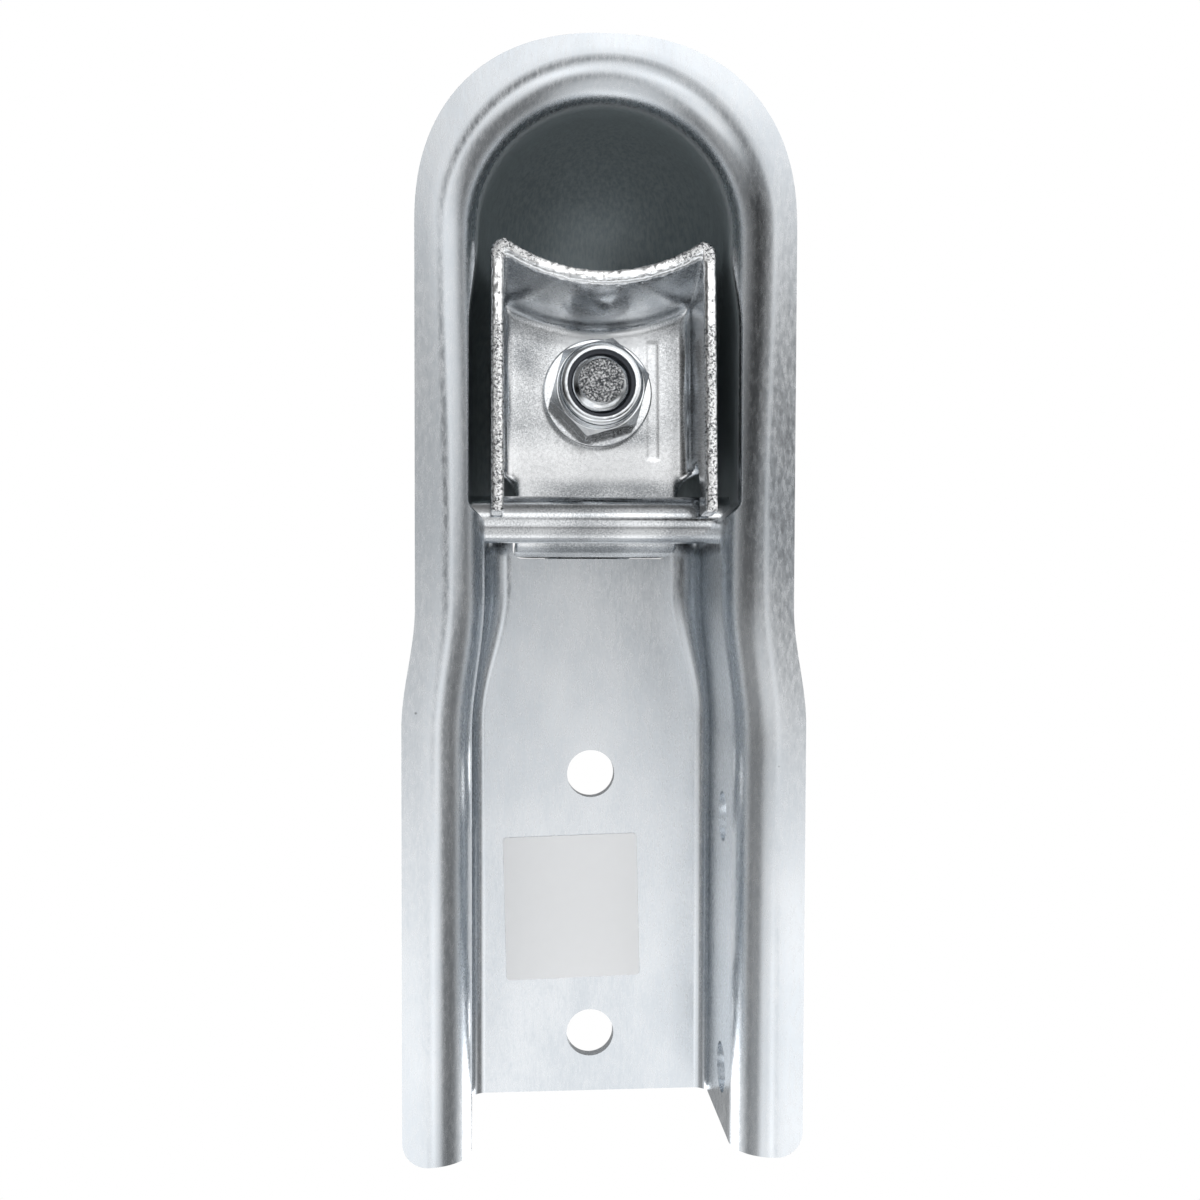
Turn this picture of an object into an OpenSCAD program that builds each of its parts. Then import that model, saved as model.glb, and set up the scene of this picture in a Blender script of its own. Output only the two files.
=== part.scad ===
// Trailer coupling head: a drawn sheet steel shell that drops over a tow ball, with a swinging
// clamp under the ball, an eye bolt that hangs from a cam lever, and a channel that bolts to the tongue.
// Frame: +Z up in use, nose towards -Y, origin at the centre of the tow ball.

/* [Ball socket] */
// Diameter of the tow ball
ball_d = 47.6; // [46:0.1:52]
// Gap between the ball and the socket
seat_clear = 0.6; // [0.3:0.1:1.2]

/* [Shell] */
// Thickness of the shell's sheet
sheet_t = 3; // [2:0.1:4]
// Depth of the flange's face below the ball centre
flange_drop = 14.5; // [12:0.1:18]
// Plan radius of the nose, out to the flange's edge
nose_r = 36.4; // [34:0.1:44]
// Room between the clamp's wings and the pockets beside them
pocket_play = 4.2; // [3:0.1:5]
// Room between the clamp's wings and the neck behind them
neck_play = 1.1; // [0.8:0.1:1.6]
// Half width of the flanges at the rear
flange_rear_half = 39; // [37:0.1:44]
// Radius that turns the walls out into the flange
fillet_r = 8.5; // [5:0.1:9]
// Radius of the fold between roof and walls at the rear
fold_r = 3; // [2:0.1:6]
// Least distance from a bolt hole's centre to the rear end
end_margin = 11.8; // [9:0.1:60]
// Radius of the flange's rear corners
tip_r = 5; // [2:0.5:8]

/* [Tongue channel] */
// Width of the trailer tongue
tongue_w = 50.8; // [50:0.1:52]
// Total side play of the tongue in the channel
tongue_play = 0.7; // [0.4:0.1:1.5]
// Diameter of the tongue bolt holes
hole_d = 10.3; // [8:0.1:11]
// Place of the first roof hole
roof_hole_y = 110; // [104:0.5:114]
// Pitch of the two roof holes
roof_pitch = 57.15; // [50:0.05:60]
// Place of the first hole in the walls
side_hole_y = 115.8; // [110:0.1:120]
// Pitch of the two holes in each wall
side_pitch = 52.4; // [48:0.1:56]
// Height of the wall holes above the ball centre
side_hole_z = 4; // [2:0.5:8]

/* [Cross pin] */
// Diameter of the pin that the clamp swings on
pin_d = 9.5; // [8:0.1:10.5]
// Distance from the ball centre back to the pin
pin_y = 55; // [54:0.1:57]
// Height of the pin above the ball centre
pin_z = 3.5; // [2.5:0.1:4.5]
// Radial gap of the pin in the shell's walls
pin_fit = 0.05; // [0.02:0.01:0.1]

/* [Ball clamp] */
// Width over the clamp's side wings
clamp_w = 44.2; // [42:0.1:45]
// Thickness of the clamp's sheet
clamp_t = 2.6; // [2:0.1:3]
// Height of the wings' free edges above the flange's face, at the pin
wing_gap = 2.7; // [1.5:0.1:4]
// How far the clamp leans, nose end up, when the lever is closed
rest_tilt = 5.5; // [4.5:0.1:6.5]
// Gap between the washer and the bend of the front wall
wall_gap = 0.45; // [0.3:0.05:1]
// Plan radius of the front wall's lip
lip_r = 33.5; // [32:0.1:35]
// Radius of the front wall's hollow, seen from the side
hollow_r = 40; // [34:0.5:48]
// Outer bend radius between web and wings
clamp_bend = 5; // [4:0.1:6]
// Outer bend radius between web and front wall
front_bend = 5; // [4.4:0.1:6]
// Width of the tail that hooks into the roof slot
tail_w = 33.6; // [30:0.1:34.6]
// Gap between the web and the pin that carries it
web_gap = 0.3; // [0.1:0.05:0.5]
// Radius of the open notch that the pin lies in
notch_r = 6.5; // [6.2:0.1:7]

/* [Eye bolt] */
// Diameter over the bolt's thread
bolt_d = 11.9; // [9.9:0.1:12.4]
// Distance from the cross pin to the bolt
bolt_reach = 26.5; // [25:0.1:28]
// Play of the bolt in its holes, on the diameter
bolt_play = 2.1; // [1.6:0.1:3]
// Outer diameter of the washer
washer_d = 22.5; // [20:0.1:24]
// Thickness of the washer
washer_t = 2.5; // [1.5:0.1:3]
// Width across the nut's flats
nut_af = 18; // [17:0.1:19]
// Height of the nut with its collar
nut_h = 10.5; // [9:0.1:12]
// Wire of the release spring
spring_wire = 1.8; // [1.2:0.1:2.2]
// Number of turns in the release spring
spring_turns = 3.5; // [2.5:0.5:4]

/* [Cam lever] */
// Turn of the lever from closed to open, in degrees
lever_throw = 75; // [60:1:80]
// How far the cam lets the bolt down
cam_drop = 8; // [5:0.1:8.5]
// Height of the lever pin above the roof when open
open_h = 8.5; // [8.5:0.1:10]
// Diameter of the lever pin
lever_pin_d = 8; // [6:0.1:9]
// Thickness of the lever's sheet
lever_t = 2.8; // [2:0.1:3.2]
// Length of the lever from its pin to the thumb end
lever_len = 72; // [66:1:74]
// Width over the thumb end
thumb_w = 30; // [24:1:36]

/* [Sticker] */
// Width of the blank sticker inside the channel
sticker_w = 29.2; // [20:0.1:32]
// Length of the blank sticker
sticker_l = 31.4; // [24:0.1:34]
// Thickness of the sticker
sticker_t = 0.2; // [0.1:0.05:0.3]

/* [Hidden] */
$fn = 72;
// Small overlap of joined forms, overshoot of cutters, and a length past everything
eps = 0.01;
over = 1;
far = 300;

// Shell sizes that follow from the driving ones
socket_r = ball_d / 2 + seat_clear;
roof_top = socket_r + sheet_t;
rear_y = end_margin + max(roof_hole_y + roof_pitch, side_hole_y + side_pitch);
pocket_half = clamp_w / 2 + pocket_play;
neck_half = clamp_w / 2 + neck_play;
rear_half = (tongue_w + tongue_play) / 2;
min_flat = 0.5;
foot_r = min(fillet_r, nose_r - max(pocket_half, socket_r) - min_flat, flange_rear_half - rear_half - min_flat);
wall_foot = foot_r - flange_drop;
pocket_start = 0;
pocket_full = 18;
pocket_end = pin_y - 3.5;
neck_start = pin_y + 1;
neck_end = pin_y + 15;
rear_start = neck_end + 28;
step_start = pin_y + 17;
step_end = step_start + 23;
socket_end = 26;
arc_steps = 9;
fillet_steps = 5;
nose_steps = 24;

// Clamp sizes in its own frame: pin axis at zero, Y to the rear, Z up square to the web
clamp_half = clamp_w / 2;
web_low = pin_d / 2 + web_gap;
web_top = web_low + clamp_t;
web_over = web_top + 0.1;
wing_low = (wing_gap - flange_drop - pin_z) / cos(rest_tilt);
bend_z = web_top - front_bend;
hollow_deep = hollow_r - sqrt(hollow_r * hollow_r - (bend_z - wing_low) * (bend_z - wing_low));
curve_reach = bolt_reach + washer_d / 2 + wall_gap + front_bend + hollow_deep + lip_r;
hollow_c = lip_r + hollow_deep - hollow_r;
bend_c = lip_r + hollow_deep + front_bend;
tip_flat = 0.3;
tip_reach = curve_reach - sqrt(lip_r * lip_r - pow(clamp_half - clamp_t, 2)) - tip_flat;
tip_round = 3;
relief_y = -5;
relief_r = 5;
tail_bend = 4;
tail_set = 5.9;
tail_y = tail_set - tail_bend - clamp_t;
tail_root = 8;
tail_corner = 4;
tail_rise = (roof_top - pin_z) / cos(rest_tilt) - 0.2;

// Roof slot: its rear edge sits just behind the tail, its front edge lets the tail swing
slot_gap = 0.4;
slot_side = 0.8;
slot_corner = 2;
slot_swing = 1;
washer_rim = 0.5;
clamp_swing = cam_drop * 180 / (PI * cos(rest_tilt) * (bolt_reach + washer_d / 2 + washer_rim));
slot_rear = pin_y + tail_set * cos(rest_tilt) + tail_rise * sin(rest_tilt) + slot_gap;
slot_front = pin_y + (tail_set - clamp_t) * cos(clamp_swing - rest_tilt)
    - tail_rise * sin(clamp_swing - rest_tilt) - slot_swing;

// Bolt sizes in the bolt's frame: same heights as the clamp's frame
bolt_play_run = 1.5;
bolt_tip = 1.3;
thread_fit = 0.05;
seat_gap = 0.05;
washer_play = 0.3;
washer_z = web_low - seat_gap - washer_t;
nut_z = washer_z - nut_h;
bolt_end = nut_z - 0.5;
bolt_hole_d = bolt_d + bolt_play;
bolt_root = pin_z + bolt_reach * sin(rest_tilt);
closed_h = open_h + cam_drop;
eye_r = open_h - 0.5;
eye_half = bolt_d / 2 + 0.05;
eye_z = (roof_top + closed_h - bolt_root) / cos(rest_tilt);
lever_y = pin_y - bolt_reach * cos(rest_tilt) + eye_z * sin(rest_tilt);
lever_z = roof_top + closed_h;
roof_bore_y = pin_y - bolt_reach * cos(rest_tilt) + (roof_top - sheet_t / 2 - bolt_root) * tan(rest_tilt);
roof_under = (socket_r - bolt_root) / cos(rest_tilt);

// Nut sizes: a hexagon with a skirt, and a round collar that holds the locking insert
collar_h = 3.4;
collar_r = nut_af / 2 - 0.5;
collar_edge = 1.2;
skirt_r = nut_af / 2 + 1.6;
insert_h = 2.5;
insert_z = 0.75;
insert_r = bolt_d / 2 + 1.25;
insert_fit = 0.05;

// Lever sizes, from the lever pin's axis
pin_run = 0.1;
lever_inner = eye_half + 0.4;
lever_half = lever_inner + lever_t;
foot_l = 7;
front_l = 13.5;
lever_top = eye_r + 0.5 + lever_t;
arm_y = 26;
arm_z = 1.5;
belly_z = -11.5;
thumb_l = 16;
thumb_rise = 7;
thumb_r = 6;
cam_gap = 0.05;
cam_base = cam_drop * 180 / (PI * lever_throw);

// Place and turn of the sticker
sticker_x = -4.1;
sticker_y = roof_hole_y + roof_pitch / 2 + 0.6;
sticker_turn = -1.5;

// Finishes
zinc = [0.74, 0.76, 0.79];
bright = [0.85, 0.87, 0.9];
paper = [0.95, 0.95, 0.94];
nylon = [0.2, 0.22, 0.26];

// Smooth step from 0 to 1 as y goes from a to b
function ease(y, a, b) = let (s = min(1, max(0, (y - a) / (b - a)))) s * s * (3 - 2 * s);
// Value that eases from p to q while y goes from a to b
function blend(y, a, b, p, q) = p + (q - p) * ease(y, a, b);

// Half width inside the walls at a place along the shell
function half_in(y) =
    y < pocket_end ? blend(y, pocket_start, pocket_full, socket_r, pocket_half) :
    y < neck_end ? blend(y, pocket_end, neck_start, pocket_half, neck_half) :
    blend(y, neck_end, rear_start, neck_half, rear_half);
// Half width out to the flange's edge
function half_out(y) = blend(y, step_start, step_end, nose_r, flange_rear_half);
// Inner radius between roof and wall: a full dome at the socket, a plain fold at the rear
function roof_r(y) = blend(y, 0, socket_end, socket_r, 2 * fold_r)
    + blend(y, neck_end, rear_start, 0, -fold_r);

// Right half of one skin of the cross section, from the flange's edge to the roof
function skin(w, f, r, off) = concat(
    [[f, off - flange_drop]],
    [for (i = [0 : fillet_steps]) let (a = 270 - 90 * i / fillet_steps)
        [w + foot_r + (foot_r - off) * cos(a), wall_foot + (foot_r - off) * sin(a)]],
    [for (i = [0 : arc_steps]) let (a = 90 * i / arc_steps)
        [w - r + (r + off) * cos(a), socket_r - r + (r + off) * sin(a)]]);
function flipped(points) = [for (i = [len(points) - 1 : -1 : 0]) [-points[i][0], points[i][1]]];
function whole_skin(w, f, r, off) = let (half = skin(w, f, r, off)) concat(half, flipped(half));
function ring(y) = let (w = half_in(y), f = half_out(y), r = roof_r(y))
    [for (p = concat(whole_skin(w, f, r, 0), whole_skin(w, f, r, sheet_t))) [p[0], y, p[1]]];

stations = concat(
    [for (i = [0 : 9]) socket_end * i / 10],
    [socket_end, (socket_end + pocket_end) / 2],
    [for (i = [0 : 8]) pocket_end + (neck_start - pocket_end) * i / 8],
    [for (i = [0 : 10]) neck_end + (rear_start - neck_end) * i / 10],
    [rear_y]);

// The whole shell: rings swept round the nose from wall to wall, then lofted back to the rear end
module shell() {
    half = fillet_steps + arc_steps + 3;
    m = 2 * half;
    n = len(stations);
    rows = [for (y = stations) each ring(y)];
    turned = [for (j = [1 : nose_steps - 1], off = [0, sheet_t]) let (a = 180 * j / nose_steps,
            p = skin(socket_r, nose_r, socket_r, off))
        each [for (i = [0 : half - 2]) [p[i][0] * cos(a), -p[i][0] * sin(a), p[i][1]]]];
    // Point i of a skin on ring j of the nose, shared with the first ring of the loft at both ends
    function at(j, i, s) =
        i == half - 1 ? s * m + i :
        j == 0 ? s * m + i :
        j == nose_steps ? s * m + m - 1 - i :
        len(rows) + ((j - 1) * 2 + s) * (half - 1) + i;
    fan = [for (j = [0 : nose_steps - 1], i = [0 : half - 2]) each i == half - 2 ?
        [[at(j + 1, i, 0), at(j, i + 1, 0), at(j, i, 0)], [at(j + 1, i, 1), at(j, i, 1), at(j, i + 1, 1)]] :
        [[at(j + 1, i, 0), at(j + 1, i + 1, 0), at(j, i + 1, 0), at(j, i, 0)],
            [at(j + 1, i, 1), at(j, i, 1), at(j, i + 1, 1), at(j + 1, i + 1, 1)]]];
    nose_edge = [for (j = [0 : nose_steps - 1]) [at(j + 1, 0, 0), at(j, 0, 0), at(j, 0, 1), at(j + 1, 0, 1)]];
    inner = [for (k = [0 : n - 2], i = [0 : m - 2]) let (a = 2 * m * k + i, b = a + 2 * m)
        [a, a + 1, b + 1, b]];
    outer = [for (k = [0 : n - 2], i = [0 : m - 2]) let (a = 2 * m * k + m + i, b = a + 2 * m)
        [a, b, b + 1, a + 1]];
    edges = [for (k = [0 : n - 2]) let (a = 2 * m * k, b = a + 2 * m)
        each [[a, b, b + m, a + m], [a + m - 1, a + 2 * m - 1, b + 2 * m - 1, b + m - 1]]];
    last = 2 * m * (n - 1);
    rear = [for (i = [0 : m - 2]) [last + i, last + i + 1, last + i + m + 1, last + i + m]];
    polyhedron(concat(rows, turned), concat(fan, nose_edge, inner, outer, edges, rear), convexity = 10);
}

// Upright drill through the sheet at one place
module drill(x, y, d) { translate([x, y, -far / 2]) cylinder(d = d, h = far); }
// Drill from side to side through both walls
module cross_drill(y, z, d) { translate([-far / 2, y, z]) rotate([0, 90, 0]) cylinder(d = d, h = far); }

module round_slot(w, y0, y1, r) {
    translate([0, 0, roof_top - 3 * sheet_t]) linear_extrude(6 * sheet_t) {
        translate([-w / 2 + r, y0]) square([w - 2 * r, y1 - y0]);
        translate([-w / 2, y0 + r]) square([w, y1 - y0 - 2 * r]);
        for (x = [-1, 1], y = [y0 + r, y1 - r]) translate([x * (w / 2 - r), y]) circle(r);
    }
}

// Rounds the flange's rear corners
module tip_cutter() {
    for (s = [-1, 1]) translate([s * (flange_rear_half - tip_r), rear_y - tip_r, -flange_drop - over])
        linear_extrude(sheet_t + 2 * over) difference() {
            translate([s > 0 ? 0 : -tip_r - over, 0]) square(tip_r + over);
            circle(tip_r);
        }
}

module coupler_body() color(zinc) difference() {
    shell();
    for (i = [0, 1]) {
        drill(0, roof_hole_y + i * roof_pitch, hole_d);
        cross_drill(side_hole_y + i * side_pitch, side_hole_z, hole_d);
    }
    drill(0, roof_bore_y, bolt_hole_d);
    cross_drill(pin_y, pin_z, pin_d + 2 * pin_fit);
    round_slot(tail_w + 2 * slot_side, slot_front, slot_rear, slot_corner);
    tip_cutter();
}

module at_clamp() { translate([0, pin_y, pin_z]) rotate([-rest_tilt, 0, 0]) children(); }
module at_bolt() { at_clamp() translate([0, -bolt_reach, 0]) children(); }

// Block with rounded top edges: the clamp's outer form, or its inside
module clamp_block(off) {
    half = clamp_half - off;
    top = web_top - off;
    r = clamp_bend - off;
    past = off > 0 ? over : 0;
    rotate([90, 0, 0]) translate([0, 0, -past]) linear_extrude(tip_reach + 5 * over + past) {
        translate([-half, wing_low - past]) square([2 * half, top - r - wing_low + past]);
        translate([-half + r, top - r - eps]) square([2 * half - 2 * r, r + eps]);
        for (s = [-1, 1]) translate([s * (half - r), top - r]) circle(r);
    }
}

// What lies on the ball's side of the front wall, turned about an upright axis before the nose
module hollow_side(off) {
    steps = 10;
    lip_a = asin((bend_z - wing_low) / (hollow_r + off));
    outline = concat(
        [[0, wing_low - over], [hollow_c + (hollow_r + off) * cos(lip_a), wing_low - over]],
        [for (i = [0 : steps]) let (a = -lip_a * (1 - i / steps))
            [hollow_c + (hollow_r + off) * cos(a), bend_z + (hollow_r + off) * sin(a)]],
        [for (i = [1 : steps]) let (a = 180 - 90 * i / steps)
            [bend_c + (front_bend - off) * cos(a), bend_z + (front_bend - off) * sin(a)]],
        [[bend_c, web_top + over], [0, web_top + over]]);
    translate([0, -curve_reach, 0]) rotate_extrude($fn = 144) polygon(outline);
}

// Tail bent up from the web's rear edge, with rounded upper corners
module tail() {
    half = tail_w / 2;
    mid_z = web_top + tail_bend;
    translate([-half, 0, 0]) rotate([90, 0, 90]) linear_extrude(tail_w) {
        translate([tail_y - tail_root, web_low]) square([tail_root, clamp_t]);
        translate([tail_y, mid_z]) intersection() {
            difference() { circle(tail_bend + clamp_t); circle(tail_bend); }
            translate([0, -2 * mid_z]) square(2 * mid_z);
        }
        translate([tail_y + tail_bend, mid_z - eps]) square([clamp_t, tail_rise - tail_corner - mid_z + eps]);
    }
    translate([0, tail_set, 0]) rotate([90, 0, 0]) linear_extrude(clamp_t) {
        translate([-half + tail_corner, tail_rise - tail_corner - eps])
            square([tail_w - 2 * tail_corner, tail_corner + eps]);
        for (s = [-1, 1]) translate([s * (half - tail_corner), tail_rise - tail_corner]) intersection() {
            circle(tail_corner);
            translate([-tail_corner, 0]) square(2 * tail_corner);
        }
    }
}

// Open notches in the wings that clear the pin, with relief arcs at the web's rear corners
module notch_cutter() {
    for (s = [-1, 1]) {
        translate([s * (tail_w / 2 + far / 2), 0, 0]) {
            translate([-far / 2, relief_y, -notch_r]) cube([far, far, far]);
            translate([-far / 2, relief_y, 0]) rotate([0, 90, 0]) cylinder(r = notch_r, h = far);
        }
        translate([s * (tail_w / 2 + relief_r), relief_y, 0]) cylinder(r = relief_r, h = far);
    }
}

// Takes the wings' front corners off round, slopes their tops and cuts all before the tips
module front_corner_cutter() {
    for (s = [-1, 1]) translate([s * (clamp_half - tip_round), -tip_reach + tip_round, -far / 2])
        linear_extrude(far) difference() {
            translate([s > 0 ? 0 : -2 * tip_round, -2 * tip_round]) square(2 * tip_round);
            circle(tip_round);
        }
    translate([-far / 2, -tip_reach - far, -far / 2]) cube([far, far, far]);
    flat_end = curve_reach - bend_c;
    translate([-far / 2, 0, 0]) rotate([90, 0, 90]) linear_extrude(far)
        polygon([[-tip_reach - over, bend_z - over], [-flat_end, web_top], [-flat_end, far],
            [-tip_reach - over, far]]);
}

module ball_clamp() color(bright) at_clamp() {
    difference() {
        union() {
            difference() {
                clamp_block(0);
                hollow_side(0);
                difference() {
                    clamp_block(clamp_t);
                    hollow_side(clamp_t);
                }
                notch_cutter();
                front_corner_cutter();
            }
            tail();
        }
        for (y = [0, bolt_play_run]) translate([0, y - bolt_reach, 0]) cylinder(d = bolt_hole_d, h = far);
    }
}

module cross_pin() color(bright) translate([0, pin_y, pin_z]) rotate([0, 90, 0]) {
    stand_out = 1.2;
    cham = 1;
    reach = pocket_half + sheet_t + stand_out;
    cylinder(d = pin_d, h = 2 * reach - 2 * cham, center = true);
    for (s = [0, 1]) mirror([0, 0, s]) translate([0, 0, reach - cham])
        cylinder(d1 = pin_d, d2 = pin_d - 2 * cham, h = cham);
}

module eye_bolt() color(bright) at_bolt() difference() {
    union() {
        translate([0, 0, eye_z]) rotate([0, 90, 0]) cylinder(r = eye_r, h = 2 * eye_half, center = true);
        translate([0, 0, bolt_end + bolt_tip])
            cylinder(d = bolt_d, h = eye_z - bolt_end - bolt_tip - eye_r / 2);
        translate([0, 0, bolt_end]) cylinder(d1 = bolt_d - 2 * bolt_tip, d2 = bolt_d, h = bolt_tip);
    }
    translate([0, 0, eye_z]) rotate([0, 90, 0])
        cylinder(d = lever_pin_d + pin_run, h = 4 * eye_half, center = true);
}

module lock_nut() color(bright) at_bolt() translate([0, 0, nut_z]) difference() {
    union() {
        intersection() {
            translate([0, 0, collar_h]) cylinder(d = nut_af / cos(30), h = nut_h - collar_h, $fn = 6);
            rotate_extrude() polygon([[0, collar_h], [nut_af / 2 - 0.2, collar_h],
                [skirt_r, collar_h + 1.1], [skirt_r, nut_h - 0.6], [skirt_r - 1.1, nut_h], [0, nut_h]]);
        }
        rotate_extrude() {
            translate([0, collar_edge]) square([collar_r, collar_h]);
            square([collar_r - collar_edge, 2 * collar_edge]);
            translate([collar_r - collar_edge, collar_edge]) circle(collar_edge);
        }
    }
    translate([0, 0, -over]) cylinder(r = bolt_d / 2 + thread_fit, h = nut_h + 2 * over);
    translate([0, 0, insert_z - insert_fit])
        cylinder(r = insert_r + insert_fit, h = insert_h + 2 * insert_fit);
    translate([0, 0, -over]) cylinder(r = insert_r - 0.5, h = over + insert_z);
}

module nut_insert() color(nylon) at_bolt() translate([0, 0, nut_z + insert_z]) difference() {
    cylinder(r = insert_r, h = insert_h);
    translate([0, 0, -over]) cylinder(r = bolt_d / 2 + thread_fit, h = insert_h + 2 * over);
}

module flat_washer() color(bright) at_bolt() translate([0, 0, washer_z]) difference() {
    cylinder(d = washer_d, h = washer_t);
    translate([0, 0, -over]) cylinder(r = bolt_d / 2 + washer_play, h = washer_t + 2 * over);
}

// Round wire swept along a helix with closed end turns
module release_spring() color(bright) at_bolt() {
    per_turn = 14;
    sides = 8;
    end_turn = 0.75;
    wire_r = spring_wire / 2;
    coil_r = bolt_hole_d / 2 + wire_r + 0.6;
    z0 = web_over + wire_r;
    z1 = roof_under - coil_r * tan(rest_tilt) - wire_r - 0.15;
    e = 1.2 * wire_r;
    n = spring_turns * per_turn;
    rise = function (t) let (u = t * spring_turns)
        u < end_turn ? e * u / end_turn :
        u > spring_turns - end_turn ? z1 - z0 - e * (spring_turns - u) / end_turn :
        e + (z1 - z0 - 2 * e) * (u - end_turn) / (spring_turns - 2 * end_turn);
    rings = [for (k = [0 : n]) let (t = k / n, a = 360 * spring_turns * t)
        each [for (j = [0 : sides - 1]) let (b = 360 * j / sides, r = coil_r + wire_r * cos(b))
            [r * cos(a), r * sin(a), z0 + rise(t) + wire_r * sin(b)]]];
    walls = [for (k = [0 : n - 1], j = [0 : sides - 1]) let (a = k * sides, q = (j + 1) % sides)
        [a + j, a + q, a + sides + q, a + sides + j]];
    ends = [[for (j = [sides - 1 : -1 : 0]) j], [for (j = [0 : sides - 1]) n * sides + j]];
    polyhedron(rings, concat(walls, ends), convexity = 8);
}

// Point of the cam outline that bears on the roof after the lever has turned by a
function cam_point(a) = let (h = closed_h - cam_gap - cam_drop * a / lever_throw)
    [cam_base * cos(a) - h * sin(a), -h * cos(a) - cam_base * sin(a)];

// Side plate of the lever: cam foot, arm and the start of the thumb end
module lever_side() {
    front = cam_point(lever_throw) + front_l * [-cos(lever_throw), sin(lever_throw)];
    polygon(concat(
        [[cam_base + foot_l, cam_gap - closed_h]],
        [for (a = [0 : lever_throw / 15 : lever_throw]) cam_point(a)],
        [front, [-5, lever_top], [12, lever_top], [arm_y, arm_z], [lever_len - thumb_l, arm_z - 2.5],
            [lever_len - 6, 3.5], [lever_len - 8, 0.5], [lever_len - thumb_l - 1, -6],
            [arm_y + 4, belly_z + 1.5], [cam_base + foot_l + 6, belly_z]]));
}

// Top strip of the lever, bent up at the thumb end
module lever_strip() {
    line = [[-5, lever_top], [12, lever_top], [arm_y, arm_z], [lever_len - thumb_l, arm_z - 2.5],
        [lever_len, thumb_rise]];
    last = len(line) - 1;
    polygon(concat(line, [for (i = [last : -1 : 0]) line[i] - [0, lever_t]]));
}

module latch_lever() color(bright) translate([0, lever_y, lever_z]) difference() {
    union() {
        for (s = [-1, 1]) translate([s > 0 ? lever_inner : -lever_half, 0, 0])
            rotate([90, 0, 90]) linear_extrude(lever_t) lever_side();
        translate([-lever_half, 0, 0]) rotate([90, 0, 90]) linear_extrude(2 * lever_half) lever_strip();
        thumb_end();
    }
    translate([-far / 2, 0, 0]) rotate([0, 90, 0]) cylinder(d = lever_pin_d + 2 * pin_run, h = far);
}

// Thumb end: the strip widened with rounded corners
module thumb_end() {
    half = thumb_w / 2;
    intersection() {
        translate([-half, 0, 0]) rotate([90, 0, 90]) linear_extrude(thumb_w) lever_strip();
        translate([0, 0, -far / 2]) linear_extrude(far) hull() {
            for (s = [-1, 1]) translate([s * (half - thumb_r), lever_len - thumb_r]) circle(thumb_r, $fn = 32);
            translate([-lever_half, lever_len - thumb_l - 10]) square([2 * lever_half, over]);
        }
    }
}

// Riveted pin with a domed head at each end
module lever_pin() color(bright) translate([0, lever_y, lever_z]) rotate([0, 90, 0]) {
    dome_r = 0.9 * lever_pin_d;
    head_play = 0.2;
    cylinder(d = lever_pin_d, h = 2 * (lever_half + head_play), center = true);
    for (s = [0, 1]) mirror([0, 0, s]) translate([0, 0, lever_half + head_play])
        rotate_extrude() intersection() {
            translate([0, -0.64 * dome_r]) circle(r = dome_r, $fn = 64);
            square(lever_pin_d);
        }
}

module blank_sticker() color(paper) translate([sticker_x, sticker_y, socket_r - sticker_t])
    rotate([0, 0, sticker_turn]) translate([-sticker_w / 2, -sticker_l / 2, 0])
        cube([sticker_w, sticker_l, sticker_t]);

coupler_body();
ball_clamp();
cross_pin();
eye_bolt();
lock_nut();
nut_insert();
flat_washer();
release_spring();
latch_lever();
lever_pin();
blank_sticker();
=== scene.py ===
# %% [markdown]
# # A trailer coupling head, seen from its open underside
#
# The part is a drawn sheet steel shell with a ball socket in its nose, a clamp that swings under
# the ball, and a channel for the trailer's tongue. The CAD model is already packed, so this
# script dresses it: each piece is built again with finer edges and gets its own metal.
# Lengths are written in millimetres and turned into metres when a mesh becomes an object.

# %% Load the packed model as the fixed frame
from math import acos, asin, atan2, cos, pi, radians, sin, tan

import bmesh
import bpy
from mathutils import Matrix, Vector, noise


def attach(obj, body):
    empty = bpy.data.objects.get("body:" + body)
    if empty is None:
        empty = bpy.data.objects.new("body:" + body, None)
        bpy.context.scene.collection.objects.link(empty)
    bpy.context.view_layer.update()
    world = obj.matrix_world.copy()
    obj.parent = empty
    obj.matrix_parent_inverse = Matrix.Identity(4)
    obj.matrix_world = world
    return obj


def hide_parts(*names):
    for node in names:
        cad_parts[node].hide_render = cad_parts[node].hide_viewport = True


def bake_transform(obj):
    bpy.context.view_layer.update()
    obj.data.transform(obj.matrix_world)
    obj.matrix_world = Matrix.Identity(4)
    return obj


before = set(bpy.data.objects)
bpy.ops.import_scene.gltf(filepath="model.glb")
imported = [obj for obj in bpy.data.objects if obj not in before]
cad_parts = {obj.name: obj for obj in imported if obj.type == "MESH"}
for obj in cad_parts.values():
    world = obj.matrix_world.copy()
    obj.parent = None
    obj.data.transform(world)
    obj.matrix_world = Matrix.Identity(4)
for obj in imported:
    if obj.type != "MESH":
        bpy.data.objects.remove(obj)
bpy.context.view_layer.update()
print("CAD nodes:", sorted(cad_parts))

# %% [markdown]
# ## The camera
#
# The photograph looks straight up into the open side with the nose at the top of the picture.
# A camera could be aimed with a Track To constraint, but the roll and the small tilt of this view
# are known, so its matrix is written from its own right, up and back directions.

# %% Place the camera
SENSOR, FOCAL_PIXELS, PICTURE_PIXELS, NEAREST = 36.0, 1506.8, 1200.0, 0.01
LOOKS_ALONG, PICTURE_RIGHT = (0.0804, 0.0410, 0.9959), (0.9968, -0.0033, -0.0803)
EYE = (-0.0244, 0.0587, -0.3015)

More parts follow.
